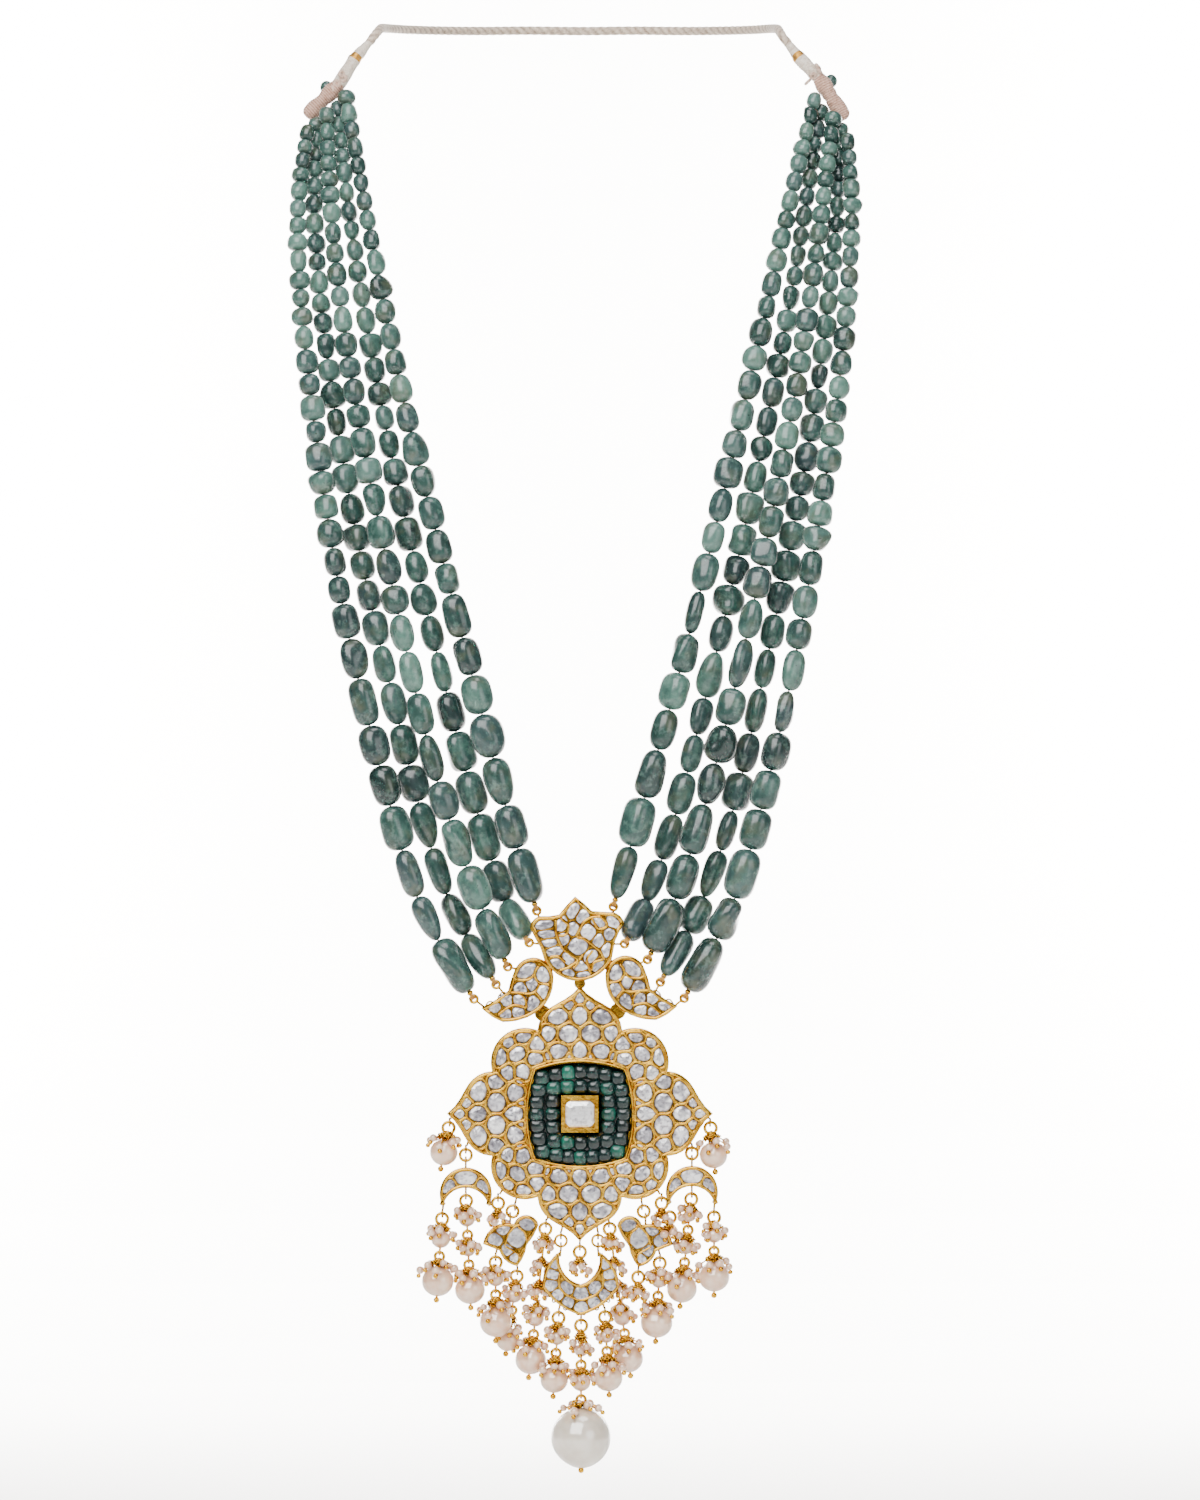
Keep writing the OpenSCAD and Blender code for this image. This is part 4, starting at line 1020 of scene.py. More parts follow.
LEAF_RIBS = (((7.1, 32.5), (9.5, 32.8), (10.7, 33.8), (11.2, 35.2), (10.7, 36.5), (9.8, 37.2)),
             ((11.2, 35.2), (12.1, 33.8), (14.1, 33.6), (15.7, 33.8), (16.4, 34.9)),
             ((9.8, 32.8), (10.9, 30.6), (12.7, 30.2), (14.8, 30.6), (17.1, 30.6)),
             ((9.1, 28.6), (10.2, 30.2), (11.1, 30.8)),
             ((13.0, 26.7), (13.2, 28.8), (14.1, 30.1), (15.2, 30.4)),
             ((13.0, 26.7), (14.1, 27.2), (16.2, 27.6), (18.0, 26.7), (20.2, 24.9)))
TREFOIL_RIBS = (((3.4, -2.2), (2.5, 0.9), (0.9, 2.7), (-0.6, 3.2)),
                ((3.4, -2.2), (1.0, -3.4), (-0.3, -4.4), (0.0, -6.3)),
                ((-0.3, -4.4), (-1.7, -2.2), (-2.1, -0.3), (-1.7, 1.3), (0.1, 2.7)))
CRESCENT_RIBS = (((-5.1, -39.5), (-5.2, -41.5), (-5.0, -43.3), (-3.1, -45.2), (0.3, -46.4), (3.7, -45.2),
                  (5.6, -43.3), (5.8, -41.5), (5.5, -39.5)),)


def ribs(rows: tuple | list, face: float, half: float, high: float) -> Shape:
    """Rounded ribs along soft curves through the given corners, let into the plate at both ends.

    Args:
        rows: for each rib its corners (u, v).
        face: height of the plate's face.
        half: half the rib's width.
        high: its height over the face.
    Returns:
        The ribs with the value deep.
    """
    parts = []
    for row in rows:
        pts = np.array(row)
        length = run_along(pts)[-1]
        line = softened(points_at(pts, np.linspace(0, length, int(length / 0.35) + 2)), 5)
        grid = raised(line, left_of(unit(np.gradient(line, axis=0))), RIB_SECTION, half, face, high)
        # painted shade at the foot of the rib on both sides
        parts.append(surface(grid[None], deep=np.array([0.9, 0.3, 0.0, 0.0, 0.3, 0.9])))
    return joined(parts)


def rib_rows(rows: tuple, side: int, shift: Array) -> list[list[tuple[float, float]]]:
    """Rib corners mirrored to the left for side -1, and moved."""
    return [[(side * u + shift[0], v + shift[1]) for u, v in row] for row in rows]


@dataclass
class GoldRims:
    """Raised rims of the plates, the curved ribs between their stones, and the rings' outer turns."""
    inset: float = 0.55
    half: float = 0.54
    high: float = 0.6
    # inset, half width and height of the rims of the small plates
    small: tuple[float, float, float] = (0.5, 0.49, 0.5)
    ring_wire: float = 0.38

    def necklace(self) -> Shape:
        """Rims of the flower, its field, the crest, both leaves, and the hanging plates at the sides.

        Returns:
            The rims and ribs with the value deep.
        """
        leaf = outline(LEAF_EDGE)
        other = (leaf * [-1, 1] + LEFT_LEAF_SHIFT)[::-1]
        flower, crest, *leaves = (rim(edge, PLATE_T, self.inset, self.half, self.high)
                                  for edge in (flower_edge(), outline(CREST_EDGE), leaf, other))
        parts = [flower, rim(field_edge(), PLATE_T, -0.35, 0.4, 0.7), crest, *leaves]
        for side, shift in ((-1, LEFT_LEAF_SHIFT), (1, np.zeros(2))):
            edge = outline(TREFOIL_EDGE) * [side, 1] + TREFOIL_AT[side]
            parts += [rim(edge if side > 0 else edge[::-1], SMALL_FACE, *self.small),
                      rim(moon() + CRESCENT_AT[side], SMALL_FACE, *self.small),
                      ribs(rib_rows(TREFOIL_RIBS, side, TREFOIL_AT[side]), SMALL_FACE, 0.36, 0.5),
                      ribs(rib_rows(LEAF_RIBS, side, shift), PLATE_T, 0.42, 0.75)]
        return joined(parts + [ribs(CREST_RIBS, PLATE_T, 0.46, 0.75)])

    def build(self) -> None:
        """Adds the rims, and the second turn of the rings that don't move."""
        add_piece("plate_rims", self.necklace(), GOLD)
        moving = joined([rim(outline(HORSESHOE_EDGE), SMALL_FACE, *self.small),
                         ribs(CRESCENT_RIBS, SMALL_FACE, 0.4, 0.5)])
        add_piece("centre_crescent_rim", moving, GOLD, Body.CRESCENT)
        turns = []
        for spots, radius in ((SIDE_RINGS, RING_R), (EYES[-1] + EYES[1], EYE_R)):
            at = np.array([placed(u, v, MID) for u, v in spots])
            # a little painted shade on the rings' outer turns
            turns.append(rings(at, radius, self.ring_wire, RIGHT, UP, deep=0.1))
        add_piece("ring_turns", joined(turns), WIRE)


@dataclass
class EmeraldMosaic:
    """Forty dark emerald beads in two square courses round the centre collet, on a dark bed."""
    columns: tuple[float, ...] = (-10.2, -6.4, -3.1, 0.2, 3.5, 6.8, 10.3)
    rows: tuple[float, ...] = (9.7, 6.3, 3.0, -0.2, -3.4, -6.9, -10.4)
    bed: float = 1.32
    bed_thick: float = 0.7
    heart: float = 2.6
    half_high: float = 1.25
    # how square the beads are: the power of the sine and cosine round them
    square: float = 0.68
    pale_cell: tuple[int, int] = (2, 0)

    def build(self) -> None:
        """Adds the beads, whose courses bow out with the field's sides, and the bed."""
        rng = np.random.default_rng(7)
        cells = [(i, j) for i in range(7) for j in range(7) if not (2 <= i <= 4 and 2 <= j <= 4)]
        at = np.array([[self.columns[i], self.rows[j]] for i, j in cells])
        at = at * (1.06 - 0.15 * (at[:, ::-1] / self.columns[-1]) ** 2)
        spans = [np.abs(np.gradient(q)) for q in (self.columns, self.rows)]
        size = np.array([[spans[0][i], spans[1][j]] for i, j in cells])
        size = (size * rng.uniform(1.03, 1.1, (len(cells), 2)))[..., None, None] / 2
        p, a = np.linspace(0, np.pi, 12)[1:-1][:, None], circle(20)
        lump = 1 + 0.05 * np.cos(3 * a + rng.uniform(0, 6, (len(cells), 1, 1))) * np.sin(p)
        u, v = (at[:, k, None, None] + size[:, k] * lump * np.sin(p) * np.sign(q) * np.abs(q) ** self.square
                for k, q in enumerate((np.cos(a), np.sin(a))))
        tint = np.clip(rng.normal(0.45, 0.2, len(cells)), 0, 1)
        tint[cells.index(self.pale_cell)] = 1.0
        shape = surface(placed(u, v, self.heart - self.half_high * np.cos(p)), tint=tint[:, None, None],
                        grey=0.0, shift=rng.uniform(0, 0.5, (len(cells), 1, 1)))
        add_piece("mosaic_beads", shape, MOSAIC, replaces=("emerald_mosaic",))
        loop = field_edge(FIELD_HALF - 0.3, 96)
        top = self.bed + self.bed_thick
        grid = np.stack([placed(*(loop.T * share), w) for share, w in
                         ((1, self.bed), (1, top), (0.37, top), (0.37, self.bed))])
        bed = surface(grid[None], ring_closed=True, tint=0.0, grey=0.0, shift=0.1)
        add_piece("mosaic_bed", bed, MOSAIC)


# Drops of pearls

@dataclass(frozen=True)
class Drop:
    """A drop of pearls: its eye (u, v), sideways and backward lean, and pearls as (distance, radius)."""
    u: float
    v: float
    lean: float
    back: float
    pearls: tuple[tuple[float, float], ...]

    def point(self, below: Array, side: Array = 0.0, front: Array = 0.0) -> Array:
        """Places below the eye, in the drop's own leaning axes.

        Args:
            below: distance below the eye.
            side: distance to the right.
            front: distance towards the viewer.
        Returns:
            Places in the row frame.
        """
        x, y, z = np.broadcast_arrays(*(np.asarray(q, float) for q in (side, np.negative(below), front)))
        b, s = math.radians(self.back), math.radians(self.lean)
        y, z = y * math.cos(b) - z * math.sin(b), y * math.sin(b) + z * math.cos(b)
        u, v = self.u + x * math.cos(s) - y * math.sin(s), self.v + x * math.sin(s) + y * math.cos(s)
        return placed(u, v, MID + z)

    def hangs(self) -> list[tuple[float, float]]:
        """For each pearl, the distance of its ring's top below the eye and the ring's radius."""
        past_eye = 0.25 + SMALL_EYE_R
        return [(0.0, RING_R)] + [(below + r + past_eye, SMALL_RING_R) for below, r in self.pearls[:-1]]


LEFT_DROPS = [
    Drop(-32.3, -2.2, -11, 0, ((7.6, 3.5),)),
    Drop(-34.1, -24.8, -4, 0, ((6.4, 2.4), (16.9, 4.0))),
    Drop(-28.3, -20.3, 2.5, 0, ((5.9, 2.1), (13.6, 1.8), (23.5, 3.8))),
    Drop(-20.9, -35.6, 0, 0, ((5.4, 2.1), (16.2, 4.0))),
    Drop(-15.5, -39.1, -8, 14, ((6.5, 2.0), (18.4, 2.9))),
    Drop(-8.4, -27.3, -6.4, 6, ((24.1, 2.2), (34.6, 3.9)))]
RIGHT_DROPS = [
    Drop(32.3, -2.2, 6, 0, ((8.2, 3.5),)),
    Drop(33.3, -24.4, 0, 0, ((5.9, 2.0), (16.2, 3.9))),
    Drop(27.8, -19.9, -6, 0, ((5.6, 1.6), (13.6, 1.7), (23.7, 3.8))),
    Drop(19.9, -35.8, -3, 0, ((5.7, 2.0), (16.2, 4.0))),
    Drop(7.2, -27.3, 8, 7.5, ((24.1, 2.2), (34.6, 3.8)))]
CRESCENT_DROPS = [
    Drop(-5.2, -49.4, -4, 0, ((6.4, 1.9), (16.8, 3.5))),
    Drop(6.2, -49.2, 3, 0, ((6.2, 1.8), (16.5, 3.6)))]
MAIN_PEARL_R = 7.5
MAIN_DROP = Drop(0.3, -51.3, 0, 0, ((7.6, 1.7), (15.5, 2.4), (29.2, MAIN_PEARL_R)))
# a direction that no wound wire runs along
HELIX_SIDE = np.array([0.05, 0.02, 1.0])
# Clusters without a pearl of their own, on eyes of the frame and of the hanging plates: rows of u, v
LONE_LEFT = ((-20.3, -20.9), (0, -33))
LONE_RIGHT = ((20.3, -20.9), (22.3, -24.4), (14.5, -39.3))


@dataclass
class PearlDrops:
    """The drops of one body: pearls, wound wire, and clusters of seed pearls on headpins."""
    name: str
    drops: list[Drop]
    nodes: tuple[str, ...]
    body: Body = Body.NECKLACE
    lone: tuple[tuple[float, float], ...] = ()
    seed: int = 3
    seed_r: float = 1.02
    tip_r: float = 0.62
    pin_r: float = 0.18
    turn_wire: float = 0.4
    # radius and wire of the helix wound round each pin, of the loop above it, and of the coil above a pearl
    bundle: tuple[float, float] = (0.55, 0.26)
    loop: tuple[float, float] = (0.62, 0.26)
    coil: tuple[float, float] = (0.62, 0.24)
    # a cluster without a pearl is set round a heart of this radius, this far below its foot
    bare_r: float = 0.7
    bare_low: float = 3.2

    def pearls(self) -> Shape:
        """Pearls, a little wider than high, with a painted reflection of the gold at the top and, less,
        painted warm shade at the lower side.

        Returns:
            The pearls with the value of painted reflection and shade.
        """
        rows = [(d.point(below), r) for d in self.drops for below, r in d.pearls if r < MAIN_PEARL_R]
        at, size = np.array([row[0] for row in rows]), np.array([row[1] for row in rows])
        made = balls(at, size, 20, 30, 0.95, own=np.arange(len(rows)))
        up = from_hearts(made, at, size)[0][:, 2]
        # painted reflection of the gold above on the top, and painted warm shade on the lower side
        made.values = {"warm": np.clip((up - 0.2) / 0.8, 0, 1) * 0.8 + np.clip(-up - 0.2, 0, 1) * 0.35}
        return made

    def spots(self) -> list[tuple[Array, Array, float]]:
        """Finds where clusters hang: under each ring, and down the long pins and on eyes without a pearl.

        Returns:
            For each, the foot of its ring, the centre of the pearl below and that pearl's radius.
        """
        out = []
        for d in self.drops:
            for (below, r), (at, pearl_r) in zip(d.hangs(), d.pearls):
                foot = below + 2 * r - 0.2
                if at - pearl_r - foot > 8:
                    for low in (foot, foot + 6.2, foot + 12.0):
                        out.append((d.point(low), d.point(low + self.bare_low), self.bare_r))
                    foot = at - pearl_r - 1.2
                out.append((d.point(foot), d.point(at), pearl_r))
        for u, v in self.lone:
            low = v - 2 * RING_R
            out.append((placed(u, low, MID), placed(u, low - self.bare_low, MID), self.bare_r))
        return out

    def clusters(self) -> tuple[Shape, Shape]:
        """A round of seed pearls that drapes over the top of each pearl, like a fringe on a dome.

        A seed stands off the pearl's centre by both radii, at an angle from upright whose sine is the round's
        radius over that distance; every second seed stands a little lower. Its wire comes from the ring, is
        wound on itself in a thick bundle, goes through the seed and ends in a gold ball at the seed's outer,
        lower end.

        Returns:
            The seeds, and the gold wire and balls.
        """
        rng = np.random.default_rng(self.seed + 1)
        rounds = []
        for foot, heart, pearl_r in self.spots():
            bare, large = pearl_r == self.bare_r, pearl_r > 2.7
            count = 8 if large else 7
            a = (np.arange(count) + rng.uniform(0, 1)) * 2 * np.pi / count + rng.normal(0, 0.1, count)
            size = self.seed_r * rng.uniform(0.85, 1.1, count)
            far = pearl_r + size + 0.08 + (0.6 if bare else 0.0)
            reach = 2.35 if bare else min(3.8, 1.75 + 0.55 * pearl_r)
            sine = np.clip(reach * rng.uniform(0.88, 1.04, count) / far, 0, 0.97)
            tilt = np.arcsin(sine) + rng.normal(0, 0.1, count)
            tilt += (0.12 if large else 0.22) * (-1.0) ** np.arange(count)
            flat = np.cos(a)[:, None] * RIGHT + np.sin(a)[:, None] * TOWARDS
            places = ((far, tilt), (np.maximum(far - 0.2, pearl_r + 0.55), tilt + (size + 0.45) / far))
            seed, tip = (heart + off[:, None] * (np.sin(w)[:, None] * flat + np.cos(w)[:, None] * UP)
                         for off, w in places)
            rounds.append((np.tile(foot, (count, 1)), seed, tip, size))
        foot, at, tip, size = (np.concatenate(q) for q in zip(*rounds))
        way, away, n = unit(at - foot), unit(tip - at), len(at)
        seeds = balls(at, size, 6, 12, 0.95, away, own=np.arange(n))
        off, own = from_hearts(seeds, at, size)
        # painted reflection of the gold and painted warm shade on each seed's inner side, towards the wire
        # and the pearl
        seeds.values = {"warm": np.clip(0.25 - 0.75 * (off * away[own]).sum(1), 0, 1)}
        u, v = across(way, np.array([0.2, 0.9, 0.3]))
        turn = np.linspace(0, 7 * np.pi, 24)[:, None]
        helix = foot[:, None] + way[:, None] * (0.2 + 2.2 * turn / turn.max()) + self.bundle[0] * (
            np.cos(turn) * u[:, None] + np.sin(turn) * v[:, None])
        pins = swept(np.stack([foot, at, tip], 1), self.pin_r, 5, np.array([0.1, 1.0, 0.2]))
        # painted shade on the wires inside the cluster: the pins darkest, then the bundle and the loops, none
        # on the balls
        parts = [balls(tip, np.full(n, self.tip_r), 5, 10, deep=np.zeros(n)), surface(pins, deep=0.4),
                 surface(swept(helix, self.bundle[1], 4, HELIX_SIDE), deep=0.25),
                 rings(foot + 0.35 * way, *self.loop, way, v, 10, deep=0.1)]
        if self.lone:
            eye = np.array([placed(u, v - RING_R, MID) for u, v in self.lone])
            parts.append(rings(eye, RING_R, self.turn_wire, RIGHT, UP, deep=0.0))
        return seeds, joined(parts)

    def coils(self) -> Shape:
        """Wire wound round each shank above its pearl: a helix of four turns.

        Returns:
            The wire with the value deep.
        """
        lines = []
        radius, wire = self.coil
        turns = np.linspace(0, 4 * 2 * np.pi, 49)
        for d in self.drops:
            for (below, r), (at, pearl_r) in zip(d.hangs(), d.pearls):
                top, low = below + 2 * r + 0.3, at - pearl_r - 0.25
                high = min(low - top, 2.2)
                if high > 0.5:
                    down = low - high + high * turns / turns[-1]
                    lines.append(d.point(down, radius * np.cos(turns), radius * np.sin(turns)))
        # painted shade on the coils above the pearls
        return surface(swept(np.array(lines), wire, 6, HELIX_SIDE), deep=0.2)

    def turns(self) -> Shape:
        """The outer turn of each ring's wire, on the circle of the inner one.

        Returns:
            The rings with the value deep.
        """
        parts = []
        for d in self.drops:
            down, right = d.point(1.0) - d.point(0.0), d.point(0.0, 1.0) - d.point(0.0)
            # a little painted shade on the rings' outer turns
            parts += [rings(d.point(below + r)[None], r, self.turn_wire, right, -down, 20, deep=0.05)
                      for below, r in d.hangs()]
        return joined(parts)

    def build(self) -> None:
        """Adds the pearls, the seeds and the gold wire."""
        add_piece(self.name + "_pearls", self.pearls(), PEARL, self.body, self.nodes)
        seeds, gold = self.clusters()
        add_piece(self.name + "_seed_pearls", seeds, PEARL, self.body)
        wires = joined([gold, self.coils(), self.turns()])
        add_piece(self.name + "_headpins", wires, WIRE, self.body)


@dataclass
class MainPearl:
    """The large pearl at the lowest point: round, drawn out a little to its lower end."""
    radius: float = MAIN_PEARL_R

    def build(self) -> None:
        """Adds it: a ball whose lower end is drawn down by 0.35 mm, with slow waves of up to 0.14 mm."""
        p = np.linspace(0, np.pi, 50)[1:-1][:, None]
        a = circle(72)
        wave = 0.08 * np.sin(2 * a + 0.6) * np.sin(p) ** 2 + 0.06 * np.sin(3 * p + a)
        r = self.radius * 0.985 + wave
        x, y = r * np.sin(p) * np.cos(a), r * np.sin(p) * np.sin(a)
        z = -r * np.cos(p) - 0.35 * np.exp(-(p / 0.45) ** 2)
        grid = MAIN_DROP.point(MAIN_DROP.pearls[2][0]) + np.stack([x, y, z], -1)
        # painted reflection of the gold above, on the top of the pearl
        warm = 0.7 * np.clip((np.cos(np.pi - p) - 0.55) / 0.45, 0, 1)
        add_piece("main_pearl_nacre", surface(grid[None], warm=warm), MAIN_PEARL, Body.DROP,
                  ("main_pearl",))


# Bead strings

STATIONS = np.array([-50, -75, -100, -125, -150, -175, -200.0])
# x of each string at the stations, inner string first
STRING_X = {
    -1: np.array([
        [-53.9, -49.0, -43.8, -37.5, -31.3, -24.8, -18.4], [-58.3, -54.3, -49.6, -44.4, -38.5, -32.5, -26.0],
        [-62.6, -59.8, -55.8, -51.0, -45.6, -40.0, -33.5], [-67.0, -64.9, -61.5, -57.2, -52.1, -46.1, -40.0],
        [-71.0, -69.7, -66.8, -63.3, -59.0, -53.5, -47.0]]),
    1: np.array([
        [52.3, 46.8, 40.9, 35.1, 29.0, 22.5, 15.4], [56.6, 52.5, 47.5, 42.4, 36.8, 30.8, 24.5],
        [60.8, 57.3, 53.1, 48.3, 43.1, 37.4, 30.9], [64.8, 62.1, 58.8, 54.4, 49.4, 44.2, 38.4],
        [68.4, 66.8, 64.0, 60.1, 55.9, 51.1, 45.1]])}
# x of each string at the height LOW_Z, just over its eye; the inner one goes to its eye without it
LOW_Z = -225.0
LOW_X = {-1: [0, -18.1, -24.2, -32.0, -39.4], 1: [0, 16.2, 22.9, 30.0, 37.6]}
# rows of u, v of the eyes, and of x, z of the top ends, inner string first
EYES = {-1: [(-10.7, 50.3), (-12.6, 42.4), (-17.9, 36.4), (-20.8, 32.0), (-26.3, 28.4)],
        1: [(8.3, 51.3), (11.1, 42.1), (16.8, 38.2), (20.0, 32.6), (25.9, 28.6)]}
TOPS = {-1: [(-59.4, -20.8), (-61.6, -23.4), (-64.1, -25.4), (-66.4, -27.8), (-68.8, -30.0)],
        1: [(59.4, -21.4), (61.0, -24.4), (64.0, -26.6), (65.8, -29.4), (67.4, -32.2)]}
# lowest beads from the pendant up: rows of length, width, egg; the first four of a string are solids too
LOW_BEADS = {
    -1: [[(14.0, 7.2, 0), (11.2, 7.6, 0), (12.2, 7.4, 0.3), (11.2, 7.8, 0), (10.0, 7.7, 0), (9.7, 6.4, 0),
          (11.2, 6.4, 0), (7.9, 6.2, 0)],
         [(12.4, 6.3, 0), (10.7, 7.0, 0), (12.2, 7.6, 0.1), (11.0, 7.6, 0), (10.2, 7.0, 0), (10.2, 6.8, 0),
          (10.4, 5.2, 0), (9.3, 5.8, 0), (8.3, 6.2, 0)],
         [(13.4, 6.6, 0), (11.5, 7.8, 0), (12.2, 6.3, 0.2), (10.0, 7.2, 0), (12.0, 5.4, 0), (10.6, 6.2, 0),
          (10.6, 5.8, 0), (9.5, 6.0, 0), (7.5, 6.6, 0)],
         [(13.2, 6.2, 0.1), (11.5, 6.2, 0), (12.2, 5.7, 0.2), (11.9, 5.8, 0.3), (9.5, 7.3, 0), (10.4, 6.8, 0),
          (10.8, 5.8, 0), (9.5, 5.8, 0), (8.9, 6.8, 0), (7.9, 6.2, 0)],
         [(15.0, 7.6, 0.1), (11.9, 5.4, 0.3), (12.2, 6.1, 0), (11.4, 7.6, 0), (10.4, 7.0, 0), (10.2, 7.2, 0),
          (12.0, 6.4, 0), (10.2, 6.0, 0), (8.9, 6.4, 0), (7.0, 5.6, 0)]],
    1: [[(13.4, 5.7, 0.3), (12.6, 8.2, 0), (12.4, 6.8, 0), (10.4, 6.2, 0), (9.5, 7.4, 0), (10.0, 6.4, 0),
         (11.0, 4.2, 0.1)],
        [(12.6, 6.3, 0), (10.9, 5.7, 0.2), (11.9, 6.6, 0), (10.8, 6.2, 0), (9.7, 5.6, 0), (9.5, 5.6, 0),
         (11.8, 6.6, 0), (9.3, 6.2, 0)],
        [(14.4, 8.0, 0), (11.7, 7.2, 0), (13.0, 7.2, -0.2), (10.6, 6.6, 0), (9.7, 7.5, 0), (9.5, 6.8, 0),
         (12.6, 5.4, 0), (10.2, 5.6, 0)],
        [(13.0, 6.0, 0.3), (10.0, 7.3, 0), (12.2, 5.4, 0.3), (10.5, 5.2, 0), (9.7, 7.6, 0), (10.2, 6.2, 0),
         (11.4, 5.6, 0), (10.0, 5.0, 0), (8.9, 6.2, 0)],
        [(14.7, 8.0, 0), (10.9, 6.9, 0), (12.8, 7.9, 0), (10.3, 7.4, 0), (10.0, 7.0, 0), (9.7, 7.0, 0),
         (10.6, 4.4, 0), (10.4, 5.6, 0), (7.9, 6.6, 0)]]}
# beads on each string, inner string first
BEAD_COUNT = {-1: (28, 30, 30, 31, 32), 1: (28, 30, 30, 31, 31)}
# size of the finer beads by height below the nape: rows of z, length, width
FINE_SIZES = np.array([
    [-185, 9.6, 7.3], [-160, 8.8, 6.9], [-140, 7.9, 6.5], [-120, 7.2, 6.2], [-105, 6.7, 5.8],
    [-85, 6.1, 5.4], [-65, 5.5, 4.9], [-45, 4.8, 4.5], [-20, 4.3, 4.1]])
# how far above the eye's centre the lowest bead begins
STRING_START = 2.1
# how far the top beads reach under the bar
TUCK = 1.4
BEAD_GAP = 0.06


def drape_y(z: Array) -> Array:
    """How far forward the strings lie over the chest at a height."""
    return -60 - 44.6 * (1 - np.exp((z + 20) / 70))


def string_line(side: int, k: int) -> Array:
    """Line of a string from its eye to the bar, smooth through its stations.

    Args:
        side: -1 for the left side, 1 for the right.
        k: number of the string from the inside.
    Returns:
        Points of the line, shaped (n, 3).
    """
    eye = placed(EYES[side][k][0], EYES[side][k][1], MID)
    zs = list(STATIONS[::-1]) + [TOPS[side][k][1]]
    xs = list(STRING_X[side][k][::-1]) + [TOPS[side][k][0]]
    if k:
        zs, xs = [LOW_Z] + zs, [LOW_X[side][k]] + xs
    z, x = np.array(zs), np.array(xs)
    spread = np.where(z < -150, 3.6, 1.8 + 1.8 * (-z - 20) / 130) * (-1 if k % 2 == 0 else 1)
    y = drape_y(z) + spread * np.minimum(1, (z - eye[2]) / 9)
    pts = np.concatenate([eye[None], np.stack([x, y, z], -1)])
    curve = curve_through(pts, 4)
    last = pts[-1:] - curve[-1]
    return np.concatenate([curve, pts[-1:] + last * TUCK / np.linalg.norm(last)])


